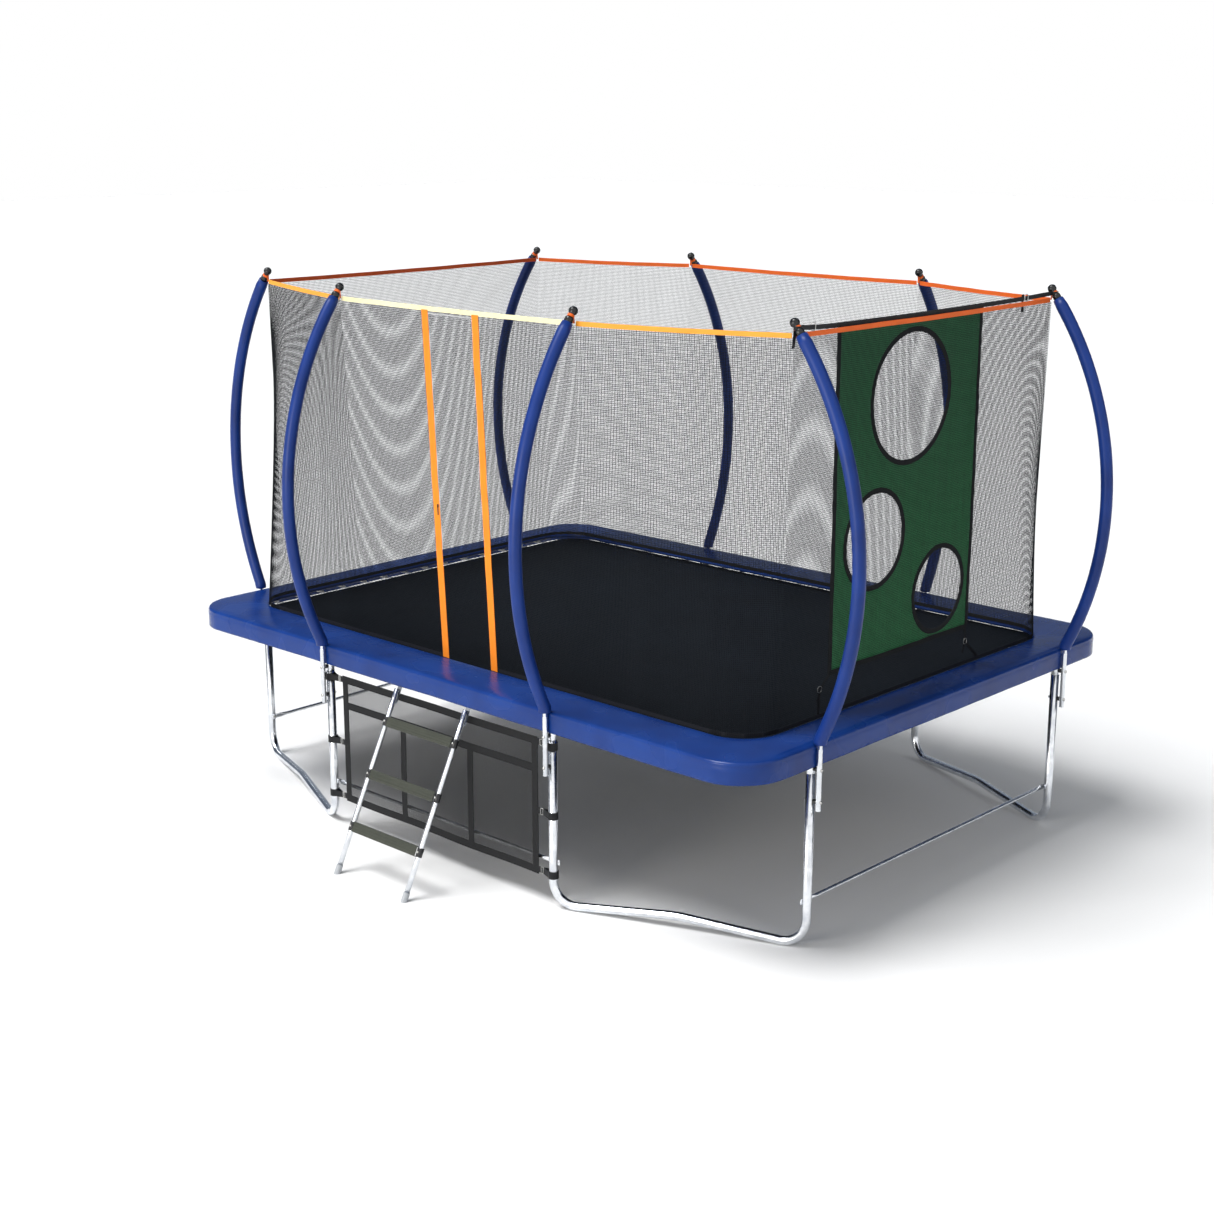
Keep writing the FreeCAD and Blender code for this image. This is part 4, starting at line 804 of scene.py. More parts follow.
for kind, amount, level, puff in pad_rows:
    for k in range(count):
        (a, face_a), (b, face_b) = outer_line[k], inner_line[k]
        if kind == "outer":
            spot = a - face_a * amount
            wave = noise.noise(Vector((a.x * 4.5, a.y * 4.5, level * 3))) * 0.0035 * puff
            spot = spot + face_a * wave
            rise = noise.noise(Vector((a.x * 3, a.y * 3,
                                       7.0))) * 0.003 * puff if level < skirt_foot + 0.02 else 0.0
        elif kind == "inner":
            spot = b + face_b * -amount
            rise = 0.0
        else:
            spot = a.lerp(b, amount)
            rise = (noise.noise(Vector((spot.x * 7, spot.y * 7, 1.0))) * 0.0028
                    + noise.noise(Vector((spot.x * 19, spot.y * 19, 4.0))) * 0.0012) * puff
        points.append(middle + spot + UP * (level + rise))
pad_skin = vinyl("blue_pvc_pad_cover", "#0e3074", "#133a84", 0.24)
faces = ring_faces(len(pad_rows), count, closed=True)
pad = made_outward(build("safety_pad_cover", points, faces, pad_skin))
dress(pad, "safety_pad", "frame")


# Foam sleeves: a 60 mm polyethylene foam tube in a blue PVC cover over each
# bowed pole, from the pad to the cap. The cover gathers a little at the bend.
sleeve_skin = vinyl("blue_pvc_pole_sleeve", "#0f2c6e", "#153782", 0.36)
SLEEVE = 0.030
for number, name in enumerate(POSTS):
    line = bow(46)
    path = [pole_point(name, across, height) for across, height in line]
    radii = []
    for n, (across, height) in enumerate(line):
        gathers = 0.0006 * math.sin(height * 190 + number) * max(0.0, 1 - (height - PAD_TOP) / 0.25)
        radii.append(SLEEVE * (1 + 0.012 * noise.noise(Vector((height * 9, number * 3.1, 0.5)))) + gathers)
    radii[0], radii[-1] = SLEEVE - 0.004, SLEEVE - 0.0045
    path[1] = path[0].lerp(path[1], 0.35)
    radii[1] = SLEEVE - 0.0005
    piece = build("pole_sleeve_" + name, *sweep(path, radii, 28), sleeve_skin)
    dress(piece, "foam_sleeve_" + name, "frame")


# Pole caps: glossy black mouldings. A collar stands on the foam, the tape
# loops round the neck, and a ball ends the pole.
gloss_black, tree, output = new_material("gloss_black_pole_cap")
place = add_node(tree, "ShaderNodeTexCoord")
scuffs = add_node(tree, "ShaderNodeTexNoise",
                  {"Vector": place.outputs["Object"], "Scale": 90.0, "Detail": 5.0})
rough = add_node(tree, "ShaderNodeMapRange", {"Value": scuffs.outputs["Fac"], "To Min": 0.08, "To Max": 0.22})
plastic = add_node(tree, "ShaderNodeBsdfPrincipled",
                   {"Base Color": linear("#0c0d10"), "Roughness": rough.outputs["Result"]})
tree.links.new(plastic.outputs[0], output.inputs["Surface"])
CAP_COLLAR, CAP_NECK, CAP_BALL = 0.020, 0.0135, 0.0215
cap_parts = []
for name in POSTS:
    axis = outward(name) * tip_along[0] + UP * tip_along[1]
    profile = [(0.0175, 0.0), (CAP_COLLAR, 0.0015), (CAP_COLLAR, 0.022), (0.0188, 0.0262),
               (CAP_NECK + 0.001, 0.028),
               (CAP_NECK, 0.030), (CAP_NECK, 0.042), (CAP_NECK + 0.001, 0.0445)]
    for n in range(13):
        angle = -0.86 + (math.pi / 2 + 0.86) * n / 12
        profile.append((CAP_BALL * math.cos(angle), CAP_LENGTH + CAP_BALL * math.sin(angle)))
    cap_parts.append(turned_part(profile, pole_point(name, tip_across, tip_height), axis, TUBE_SIDES))
piece = build("pole_ball_caps", *gather(cap_parts), gloss_black)
dress(piece, "pole_caps", "frame")


# Enclosure net: fine knitted polyester mesh, open square cells, from the
# pad's inner edge to the tape. It is drawn as its real threads, somewhat
# coarser than the real ones. Rulings run up it from foot to tape.
CELL, THREAD = 0.0085, 0.0019
TAPE_Z, TAPE_TALL = CAP_Z - 0.055, 0.022
net_low, net_high = PAD_TOP + 0.0008, TAPE_Z - TAPE_TALL / 2 + 0.001
STRIP_MIDDLE, STRIP_WIDE = 0.175, 0.044
door_foot, door_head = PAD_TOP + 0.020, TAPE_Z - 0.032
tip_x, tip_y = half_length + POLE_OFFSET + ball_across, half_width + POLE_OFFSET + ball_across


def along_line(points, share):
    """A point at a share of a polyline's length."""
    lengths = [(b - a).length for a, b in zip(points, points[1:])]
    left = share * sum(lengths)
    for (a, b), length in zip(zip(points, points[1:]), lengths):
        if left <= length:
            return a.lerp(b, left / length)
        left -= length
    return points[-1].copy()


def net_rulings(pitch):
    """Foot and head points round the net, from the front's left post anticlockwise, with the side's name."""
    foot = [Vector((LONG_LEG, inner_y, 0))]
    for n in range(13):
        angle = math.pi / 2 * n / 12
        foot.append(Vector((inner_x - PAD_INNER_CORNER + PAD_INNER_CORNER * math.sin(angle),
                            inner_y - PAD_INNER_CORNER + PAD_INNER_CORNER * math.cos(angle), 0)))
    foot.append(Vector((inner_x, SHORT_LEG, 0)))
    head = [Vector((LONG_LEG, tip_y, 0)), Vector((tip_x, SHORT_LEG, 0))]
    corners = []
    for sx, sy in ((1, -1), (1, 1), (-1, 1), (-1, -1)):
        order = -1 if sx * sy > 0 else 1
        corners.append([[Vector((sx * p.x, sy * p.y, 0)) for p in line][::order] for line in (foot, head)])
    found = []
    for n, side in enumerate(("front", "right", "back", "left")):
        (low_before, high_before), (low, high) = corners[n - 1], corners[n]
        straight = (side, [low_before[-1], low[0]], [high_before[-1], high[0]])
        for kind, lower, upper in (straight, ("corner", low, high)):
            length = sum((b - a).length for a, b in zip(lower, lower[1:]))
            steps = max(1, round(length / pitch))
            found += [(kind, along_line(lower, k / steps),
                       along_line(upper, k / steps)) for k in range(steps)]
    return found


def net_point(low, high, height):
    """Where a ruling passes a height, as a point of the frame. Rulings run straight from foot to tape."""
    spot = low.lerp(high, (height - net_low) / (net_high - net_low))
    return middle + Vector((spot.x, spot.y, height))


def front_net(x, height, out=0.0):
    """A point on the front net at a height, moved outwards from it."""
    spot = net_point(Vector((x, -inner_y, 0)), Vector((x, -tip_y, 0)), height)
    return spot - Vector((0, out, 0))


def thread_tree(name, material):
    """Threads along the edges of a mesh, three-sided."""
    group, start, end = empty_tree(name, (("Thread", 0.001),))
    line = add_node(group, "GeometryNodeMeshToCurve", {"Mesh": start.outputs["Points"]})
    profile = add_node(group, "GeometryNodeCurvePrimitiveCircle",
                       {"Resolution": 3, "Radius": start.outputs["Thread"]})
    wire = add_node(group, "GeometryNodeCurveToMesh",
                    {"Curve": line.outputs[0], "Profile Curve": profile.outputs[0]})
    end_tree(group, end, wire.outputs[0], material)
    return group


# Net thread: matt black textured polyester yarn, dark enough to read as a
# grey veil at a distance.
net_thread = mottled("black_polyester_net_thread", 120.0, "#090a0d", "#15181d",
                     {"Roughness": 0.7, "Specular IOR Level": 0.15})
threads = thread_tree("net_threads", net_thread)


def lines_object(name, lines, group, thickness):
    """An object of threads through lists of points."""
    points, edges = [], []
    for line in lines:
        start = len(points)
        points += line
        edges += [(start + n, start + n + 1) for n in range(len(line) - 1)]
    return grown(name, group, points, edges=edges, inputs={"Thread": thickness / 2})


def rows_between(low, high, pitch):
    """Values spread evenly from low to high, about a pitch apart."""
    steps = max(1, round((high - low) / pitch))
    return [low + (high - low) * n / steps for n in range(steps + 1)]


HEAD_GAP, ROW_PITCH = 0.008, 0.09
around = [(low, high) for side, low, high in net_rulings(ROW_PITCH) if side != "front"]


def net_loop(height, whole):
    """A line round the net at a height, whole or open between the door's strips."""
    left, right = front_net(-LONG_LEG, height), front_net(LONG_LEG, height)
    loop = [net_point(low, high, height) for low, high in around]
    if whole:
        return [left, right] + loop[1:] + [left]
    edge, mid = Vector((STRIP_MIDDLE, 0, 0)), (left + right) / 2
    return [mid + edge, right] + loop[1:] + [left, mid - edge]


lines = []
for side, low, high in net_rulings(CELL):
    over_door = side == "front" and abs(low.x) < STRIP_MIDDLE
    lines.append([net_point(low, high, h) for h in (door_head + HEAD_GAP if over_door else net_low,
                                                    net_high)])
for height in rows_between(net_low, net_high, CELL):
    lines.append(net_loop(height, height > door_head + HEAD_GAP))
net = lines_object("enclosure_net_threads", lines, threads, THREAD)
dress(net, "enclosure_net", "frame")


# Top tape: woven orange webbing from cap to cap round the net's upper edge, sewn
# on and looped round each neck. The front length is painted cream and its
# neighbours golden as painted highlight, the left length is painted deep orange
# as painted shade, and the others are orange.
WEB_THICK, LOOSE_THICK = 0.0018, 0.0016


def band(path, width, thick, wide_way):
    """A flat tape of rectangular section through points, wide along wide_way."""
    path = [Vector(p) for p in path]
    points = []
    for n, spot in enumerate(path):
        along = (path[min(n + 1, len(path) - 1)] - path[max(n - 1, 0)]).normalized()
        way = Vector(wide_way[n] if isinstance(wide_way, list) else wide_way)
        way = (way - along * way.dot(along)).normalized()
        flat = along.cross(way)
        for sw, st in ((-1, -1), (1, -1), (1, 1), (-1, 1)):
            points.append(spot + way * (sw * width / 2) + flat * (st * thick / 2))
    return points, ring_faces(len(path), 4)


# All the top tape is one orange webbing. The cream and golden lengths are painted lighter as painted
# highlight, and the deep one is painted darker as painted shade.
orange_webbing = webbing("orange_webbing", "#ef6a25")
painted_highlight_golden_webbing = webbing("painted_highlight_golden_webbing", "#ffa83c")
painted_highlight_cream_webbing = webbing("painted_highlight_cream_webbing", "#fdf3c0")
painted_shade_deep_webbing = webbing("painted_shade_deep_orange_webbing", "#c9501c")
tape_lit_and_shaded_colours = {"front_left": painted_highlight_cream_webbing, "front_right": painted_highlight_golden_webbing, "left_front": painted_highlight_golden_webbing,
                "left_back": painted_shade_deep_webbing}
order = list(POSTS)
for n, name in enumerate(order):
    following = order[(n + 1) % 8]
    a, b = pole_point(name, ball_across, TAPE_Z), pole_point(following, ball_across, TAPE_Z)
    along = (b - a).normalized()
    a, b = a + along * 0.012, b - along * 0.012
    path = []
    for k in range(25):
        share = k / 24
        sag = 0.004 * math.sin(math.pi * share) + 0.0012 * noise.noise(Vector((share * 9, n * 2.3, 0)))
        path.append(a.lerp(b, share) - Vector((0, 0, sag)))
    tape = band(path, TAPE_TALL, WEB_THICK, (0, 0, 1))
    piece = made_outward(build("top_tape_" + name, *tape, tape_lit_and_shaded_colours.get(name, orange_webbing),
                               smooth=False))
    dress(piece, None if n else "net_top_tape", "frame")
loops = []
LOOP_WIDE, NECK_UP = 0.012, 0.036
for name in POSTS:
    face = outward(name)
    axis = (face * tip_along[0] + UP * tip_along[1]).normalized()
    centre = pole_point(name, tip_across, tip_height) + axis * NECK_UP
    across = axis.orthogonal().normalized()
    ring = circle(centre, CAP_NECK + 0.002, 24, across, axis.cross(across), closed=True)
    loops.append(band(ring, LOOP_WIDE, WEB_THICK, tuple(axis)))
    tail = [centre - face * 0.016 - axis * 0.002, pole_point(name, ball_across - 0.002, TAPE_Z)]
    loops.append(band(tail, LOOP_WIDE, LOOSE_THICK, tuple(face.cross(UP))))
piece = made_outward(build("cap_neck_loops", *gather(loops), orange_webbing, smooth=False))
dress(piece, None, "frame")


# Door: a flap of the same mesh closes the opening between two orange webbing
# strips. A coil zip runs along each strip's inner edge, and the flap swings
# out on the right one.
strip_webbing = webbing("door_strip_orange_webbing", "#ff8f22", 0.5)
strips = []
for side in (-1, 1):
    path = []
    for height in rows_between(PAD_TOP + 0.001, net_high, 0.05):
        ripple = 0.0022 * noise.noise(Vector((side * 4.0, 0, height * 5)))
        path.append(front_net(side * STRIP_MIDDLE + ripple, height, 0.0035 + abs(ripple)))
    strips.append(band(path, STRIP_WIDE, 0.0022, (1, 0, 0)))
piece = made_outward(build("door_edge_strips", *gather(strips), strip_webbing, smooth=False))
dress(piece, "door_strips", "frame")

# Stitches: two rows of pale thread down each strip, each stitch 6 mm long.
stitch_thread = mottled("pale_orange_stitching", 800.0, "#d9822b", "#ffc276", {"Roughness": 0.6})


stitching, start, end = empty_tree("stitches")
stitch = add_node(stitching, "GeometryNodeMeshCylinder", {"Vertices": 5, "Radius": 0.0006, "Depth": 0.006})
set_on_points(stitching, start, end, stitch.outputs["Mesh"], stitch_thread)
STITCH_PITCH, NET_LEAN = 0.009, 0.0517
seeds = []
for side in (-1, 1):
    for row in (-0.017, 0.017):
        for height in rows_between(PAD_TOP + 0.02, net_high - 0.02, STITCH_PITCH):
            seeds.append(front_net(side * STRIP_MIDDLE + row, height, 0.0052))
piece = grown("door_strip_stitches", stitching, seeds, (NET_LEAN, 0, 0))
dress(piece, None, "frame")

DOOR_HALF = STRIP_MIDDLE - STRIP_WIDE / 2 - 0.0032
lines = []
steps = round(2 * DOOR_HALF / CELL)
for n in range(steps + 1):
    x = DOOR_HALF * (2 * n / steps - 1)
    lines.append([front_net(x, door_foot), front_net(x, door_head)])
for height in rows_between(door_foot, door_head, CELL):
    lines.append([front_net(-DOOR_HALF, height), front_net(DOOR_HALF, height)])
door = lines_object("door_flap_threads", lines, threads, THREAD)
dress(door, "door_flap", "door")

zip_black = webbing("black_coil_zip", "#101114", 0.4)
teeth = []
for side in (-1, 1):
    x = side * (STRIP_MIDDLE - STRIP_WIDE / 2 + 0.0035)
    path = [front_net(x, h, 0.0022) for h in rows_between(PAD_TOP + 0.03, net_high - 0.01, 0.25)]
    teeth.append(sweep(path, 0.0012, 6))
piece = build("door_zip_coils", *gather(teeth), zip_black)
dress(piece, None, "frame")

# Zip slider: a small black die-cast body on the left zip with a pull tab that
# hangs from it.
slider_x = -(STRIP_MIDDLE - STRIP_WIDE / 4)
slider_z = PAD_TOP + 0.775
body_shape = band([front_net(slider_x, slider_z + h, 0.0050) for h in (0.0, 0.004, 0.012, 0.016)],
                  0.010, 0.0042, (1, 0, 0))
bridge = sweep([front_net(slider_x, slider_z + h, o) for h,
                o in ((0.002, 0.006), (0.004, 0.0088), (0.011, 0.0088), (0.013, 0.006))], 0.0012, 8)
tab = band([front_net(slider_x, slider_z + h, 0.0078) for h in (-0.038, -0.03, -0.01, 0.004)], 0.006, 0.0014,
           (1, 0, 0))
piece = made_outward(build("door_zip_slider", *gather([body_shape, bridge, tab]), gloss_black))
dress(piece, "zip_slider", "slider")

# Net hem: a narrow black webbing sewn round the net's foot, with a gap at the
# door.
hem = band(net_loop(net_low + 0.009, False), 0.018, 0.0022, (0, 0, 1))
piece = made_outward(build("net_foot_hem", *hem, black_webbing, smooth=False))
dress(piece, None, "frame")


# Ball target: a sheet of green woven polyester with three round holes, bound
# with black webbing, hung just inside the right net.
TARGET_FRONT, TARGET_BACK, TARGET_SHIFT = -0.692, 0.420, 0.040
TARGET_TOP, TARGET_LONG, TARGET_GAP = TAPE_Z + 0.008, 1.565, 0.012
HOLES = ((-0.120, 0.360, 0.305), (-0.350, 0.993, 0.2275), (0.190, 1.324, 0.210))
target_lean = (tip_x - inner_x) / (net_high - net_low)


def target_place(side, height, out=0.0):
    """A point on the target's sheet, moved out of it towards the net."""
    x = inner_x - TARGET_GAP + (height - PAD_TOP) * target_lean - 0.0015
    return middle + Vector((x + out, side, height))


def hang(side, height):
    """The sheet's slack: shallow folds that run down from the strap."""
    slack = noise.noise(Vector((side * 4.0, height * 1.1, 2.0))) * 0.006
    return slack + noise.noise(Vector((side * 9.0, height * 2.5, 5.0))) * 0.0025


def on_sheet(spot, out=0.0):
    """The place of a flat point (side, height) on the hanging sheet."""
    return target_place(spot[0], spot[1], hang(spot[0], spot[1]) + out)
bottom = TARGET_TOP - TARGET_LONG
corners = [(TARGET_FRONT + TARGET_SHIFT, bottom), (TARGET_BACK + TARGET_SHIFT, bottom),
           (TARGET_BACK, TARGET_TOP), (TARGET_FRONT, TARGET_TOP)]
outline = []
for a, b in zip(corners, corners[1:] + corners[:1]):
    steps = round(math.dist(a, b) / 0.03)
    outline += [Vector(a).lerp(Vector(b), k / steps) for k in range(steps)]
rings = []
for side, drop, radius in HOLES:
    rings.append([spot.yz for spot in circle(Vector((0, side, TARGET_TOP - drop)), radius, 72,
                                             Vector((0, 1, 0)), UP)])
flat_points = list(outline)
flat_edges = [(k, (k + 1) % len(outline)) for k in range(len(outline))]
for ring in rings:
    start = len(flat_points)
    flat_points += ring
    flat_edges += [(start + k, start + (k + 1) % len(ring)) for k in range(len(ring))]
columns, levels = 36, 50
for i in range(1, columns):
    for j in range(1, levels):
        z = bottom + TARGET_LONG * j / levels
        shift = TARGET_SHIFT * (1 - j / levels)
        y = TARGET_FRONT + shift + (TARGET_BACK - TARGET_FRONT) * i / columns
        if all(math.dist((y, z), (side, TARGET_TOP - drop)) > radius + 0.012 for side, drop, radius in HOLES):
            flat_points.append(Vector((y, z)))
spots, links, triangles = delaunay_2d_cdt([Vector(p[:2]) for p in flat_points], flat_edges, [], 0, 1e-6,
                                          False)[:3]
wanted = []
for triangle in triangles:
    centre = sum((spots[k] for k in triangle), Vector((0, 0))) / len(triangle)
    if all(math.dist(centre, (side, TARGET_TOP - drop)) > radius * 0.999 for side, drop, radius in HOLES):
        wanted.append(tuple(triangle))
HALF_CLOTH = 0.0005
cloth_points = [on_sheet(spot, out) for out in (HALF_CLOTH, -HALF_CLOTH) for spot in spots]
total = len(spots)
cloth_faces = wanted + [tuple(total + k for k in reversed(face)) for face in wanted]
sides = dict.fromkeys((a, b) for face in wanted for a, b in zip(face, face[1:] + face[:1]))
cloth_faces += [(b, a, total + a, total + b) for a, b in sides if (b, a) not in sides]

green, tree, output = new_material("green_woven_polyester")
place = add_node(tree, "ShaderNodeTexCoord")
apart = add_node(tree, "ShaderNodeSeparateXYZ", {"Vector": place.outputs["Object"]})
# The green is painted darker towards the top.
fade = add_node(tree, "ShaderNodeMapRange", {"Value": apart.outputs["Z"], "From Min": 1.15, "From Max": 2.6})
tone = add_node(tree, "ShaderNodeValToRGB", {"Fac": fade.outputs["Result"]})
set_tones(tone, "#2f8a50", "#2a7447")
# Painted shade: streaks that run down the sheet darken and lighten the green like the shade of its folds.
streak = add_node(tree, "ShaderNodeMapping", {"Vector": place.outputs["Object"], "Scale": (1.0, 40.0, 2.0)})
folds = add_node(tree, "ShaderNodeTexNoise", {"Vector": streak.outputs[0], "Scale": 2.0, "Detail": 3.0})
shade = add_node(tree, "ShaderNodeMapRange", {"Value": folds.outputs["Fac"], "To Min": 0.75, "To Max": 1.2})
dyed = add_node(tree, "ShaderNodeMix", {"Factor": 1.0}, data_type="RGBA", blend_type="MULTIPLY")
tree.links.new(tone.outputs["Color"], dyed.inputs[6])
tree.links.new(shade.outputs["Result"], dyed.inputs[7])
weave = add_node(tree, "ShaderNodeTexNoise", {"Vector": place.outputs["Object"], "Scale": 500.0})
bump = add_node(tree, "ShaderNodeBump", {"Height": weave.outputs["Fac"], "Strength": 0.3, "Distance": 0.0008})
sheet_shader = add_node(tree, "ShaderNodeBsdfPrincipled", {
    "Base Color": dyed.outputs[2], "Roughness": 0.6, "Normal": bump.outputs["Normal"]})
tree.links.new(sheet_shader.outputs[0], output.inputs["Surface"])
target = made_outward(build("ball_target_sheet", cloth_points, cloth_faces, green))
dress(target, "ball_target", "frame")

# Target binding: black tape folded over every edge of the sheet and sewn.
BINDING, BINDING_THICK = 0.024, 0.0034
parts = []
for ring in rings:
    centre = sum((Vector(spot) for spot in ring), Vector((0, 0))) / len(ring)
    ways = [Vector((0, spot[0] - centre[0], spot[1] - centre[1])) for spot in ring + ring[:1]]
    parts.append(band([on_sheet(spot) for spot in ring + ring[:1]], BINDING, BINDING_THICK, ways))
for a, b in zip(corners, corners[1:] + corners[:1]):
    steps = 24
    line = [Vector(a).lerp(Vector(b), k / steps) for k in range(steps + 1)]
    across = (0, 0, 1) if abs(a[1] - b[1]) < 0.01 else (0, 1, 0)
    parts.append(band([on_sheet(spot) for spot in line], BINDING, BINDING_THICK, across))
piece = made_outward(build("ball_target_binding", *gather(parts), black_webbing, smooth=False))
dress(piece, None, "frame")


# Target strap: black webbing from cap neck to cap neck over the target's
# upper edge, tightened through a wire ring, with a loose end at each pole.
def wire_ring(centre, across, upright, wide, tall, wire=0.0022):
    """A rectangular ring of wire with round corners."""
    across, upright = Vector(across).normalized(), Vector(upright).normalized()
    corner = min(wide, tall) * 0.3
    line = []
    for n, (sx, sy) in enumerate(((1, 1), (-1, 1), (-1, -1), (1, -1))):
        for k in range(4):
            angle = math.radians(90 * n + 30 * k)
            line.append(Vector(centre) + across * (sx * (wide / 2 - corner) + corner * math.cos(angle))
                        + upright * (sy * (tall / 2 - corner) + corner * math.sin(angle)))
    return sweep(line, wire, 6, closed=True)


STRAP, STRAP_SAG = 0.021, 0.0025
cap_front, cap_back = [pole_point(name, tip_across,
                                  tip_height) + Vector((tip_along[0], 0, tip_along[1])) * NECK_UP
                       for name in ("right_front", "right_back")]
over_front = target_place(TARGET_FRONT, TARGET_TOP + STRAP / 2)
over_back = target_place(TARGET_BACK, TARGET_TOP + STRAP / 2)
path = [cap_front + Vector((-0.005, CAP_NECK, 0))]
for a, b in ((path[0], over_front), (over_front, over_back),
             (over_back, cap_back - Vector((0.005, CAP_NECK, 0)))):
    steps = 12
    path += [a.lerp(b, k / steps) - UP * (STRAP_SAG * math.sin(math.pi * k / steps))
             for k in range(1, steps + 1)]
parts = [band(path, STRAP, WEB_THICK, (0, 0, 1))]
loose_front = cap_front + Vector((-0.004, 0, -0.01))
parts.append(band([loose_front + Vector((0, -0.012, 0)), loose_front + Vector((0.002, -0.016, -0.025)),
                   loose_front + Vector((0.001, -0.019, -0.05)),
                   loose_front + Vector((-0.002, -0.021, -0.075))],
                  STRAP * 0.9, LOOSE_THICK, (0, 0.9, 0.2)))
hang_from = target_place(0.777, 2.765)
parts.append(band([hang_from, hang_from + Vector((-0.002, 0.002, -0.035)),
                   hang_from + Vector((-0.004, 0.004, -0.085))],
                  STRAP * 0.9, LOOSE_THICK, (0, 1, 0)))
for centre in (cap_front, cap_back):
    ring = circle(centre, CAP_NECK + 0.0036, 24, closed=True)
    parts.append(band(ring, STRAP * 0.8, WEB_THICK, (0, 0, 1)))
piece = made_outward(build("target_strap_webbing", *gather(parts), black_webbing, smooth=False))
dress(piece, "target_strap", "frame")
parts = []
front_ring = path[0].lerp(over_front, 0.35)
back_ring = over_back.lerp(cap_back, 0.6)
for spot in (front_ring, back_ring):
    parts.append(wire_ring(spot, (0, 1, 0), (0, 0, 1), 0.030, 0.034))

# Target ties: black webbing from the sheet's lower corners down to the pad,
# each with a wire ring to tighten it.
ties = []
tie_front = [target_place(TARGET_FRONT + TARGET_SHIFT + 0.012, bottom + 0.005),
             target_place(-0.719, 1.103), target_place(-0.722, PAD_TOP + 0.003)]
tie_back = [target_place(TARGET_BACK + TARGET_SHIFT - 0.012, bottom + 0.005),
            target_place(0.462, 1.086), target_place(0.580, PAD_TOP + 0.008)]
for tie in (tie_front, tie_back):
    ties.append(band(tie[:2], 0.016, WEB_THICK, (0, 1, 0.1)))
    ties.append(band(tie[1:], 0.016, WEB_THICK, (0, 1, 0.1)))
    parts.append(wire_ring(tie[1], (0, 1, 0), (0, 0, 1), 0.026, 0.028))
ties.append(band([tie_front[1], tie_front[1] + Vector((-0.002, -0.004, -0.03)),
                  tie_front[1] + Vector((-0.003, -0.010, -0.055))],
                 0.015, LOOSE_THICK, (0, 1, 0)))
ties.append(band([tie_back[1], tie_back[1] + Vector((-0.002, -0.006, -0.03)),
                  tie_back[1] + Vector((-0.004, -0.012, -0.06))],
                 0.015, LOOSE_THICK, (0, 1, 0)))
piece = made_outward(build("target_tie_straps", *gather(ties), black_webbing, smooth=False))
dress(piece, "target_ties", "frame")
piece = build("target_strap_rings", *gather(parts), zinc)
dress(piece, None, "frame")


# Storage panel: a flat shoe store of grey knitted mesh between the front
# legs, framed and divided with black webbing, with three straps on each side
# that go round the legs.
PANEL_X, PANEL_LOW, PANEL_HIGH, PANEL_BAND, PANEL_UPRIGHT = 0.710, 0.140, 0.820, 0.038, 0.250
PANEL_SECOND = PANEL_HIGH - 0.155
panel_y = -half_width


def panel_point(x, height, out=0.0):
    """A point of the storage panel, which sags a little between its straps."""
    slack = 0.010 * noise.noise(Vector((x * 2.2, height * 2.0, 9.0))) * (1 - (x / PANEL_X) ** 2)
    return middle + Vector((x, panel_y - out + slack, height))


panel_mesh = mottled("grey_knitted_storage_mesh", 200.0, "#1d1e1f", "#343536", {"Roughness": 0.65})
PANEL_CELL = 0.0055
lines = []
for n in range(round(2 * PANEL_X / PANEL_CELL) + 1):
    x = min(PANEL_X, -PANEL_X + n * PANEL_CELL)
    lines.append([panel_point(x, h) for h in rows_between(PANEL_LOW, PANEL_HIGH, 0.12)])
for height in rows_between(PANEL_LOW, PANEL_HIGH, PANEL_CELL):
    lines.append([panel_point(x, height) for x in rows_between(-PANEL_X, PANEL_X, 0.12)])
piece = lines_object("storage_mesh_threads", lines, thread_tree("panel_threads", panel_mesh), 0.0021)
dress(piece, "storage_panel", "frame")
frame_webbing = webbing("charcoal_panel_webbing", "#121315", 0.6)
half_band = PANEL_BAND / 2
parts = []
for height in (PANEL_LOW + half_band, PANEL_SECOND, PANEL_HIGH - half_band):
    parts.append(band([panel_point(x, height) for x in rows_between(-PANEL_X, PANEL_X, 0.08)], PANEL_BAND,
                      0.0036, (0, 0, 1)))
for x in (-PANEL_X + half_band, PANEL_X - half_band):
    parts.append(band([panel_point(x, h) for h in rows_between(PANEL_LOW, PANEL_HIGH, 0.08)], PANEL_BAND,
                      0.0042, (1, 0, 0)))
for x in (-PANEL_UPRIGHT, PANEL_UPRIGHT):
    parts.append(band([panel_point(x, h) for h in rows_between(PANEL_LOW, PANEL_SECOND, 0.08)], PANEL_BAND,
                      0.0042, (1, 0, 0)))
piece = made_outward(build("storage_panel_webbing", *gather(parts), frame_webbing, smooth=False))
dress(piece, None, "frame")
parts, ring_parts = [], []
for level in (0.800, 0.460, 0.165):
    for side in (-1, 1):
        leg = middle + Vector((side * LONG_LEG, panel_y, level))
        inner = middle + Vector((side * (PANEL_X - 0.004), panel_y, level))
        ring_at = inner + Vector((side * 0.030, 0, 0))
        parts.append(band([inner - Vector((side * 0.020, 0, 0)), ring_at], 0.030, 0.003, (0, 0, 1)))
        loop = circle(leg, TUBE / 2 + 0.0022, 32, closed=True)
        parts.append(band(loop, 0.036, 0.0032, (0, 0, 1)))
        for out in (-0.006, 0.006):
            parts.append(band([ring_at + Vector((side * 0.006, 0, 0)),
                               leg + Vector((-side * 0.004, out * 3.6, 0))], 0.032, 0.0022, (0, 0, 1)))
        ring_parts.append(wire_ring(ring_at, (1, 0, 0), (0, 0, 1), 0.016, 0.032))
piece = made_outward(build("storage_leg_straps", *gather(parts), black_webbing, smooth=False))
dress(piece, "storage_straps", "frame")
piece = build("storage_strap_rings", *gather(ring_parts), zinc)
dress(piece, None, "frame")


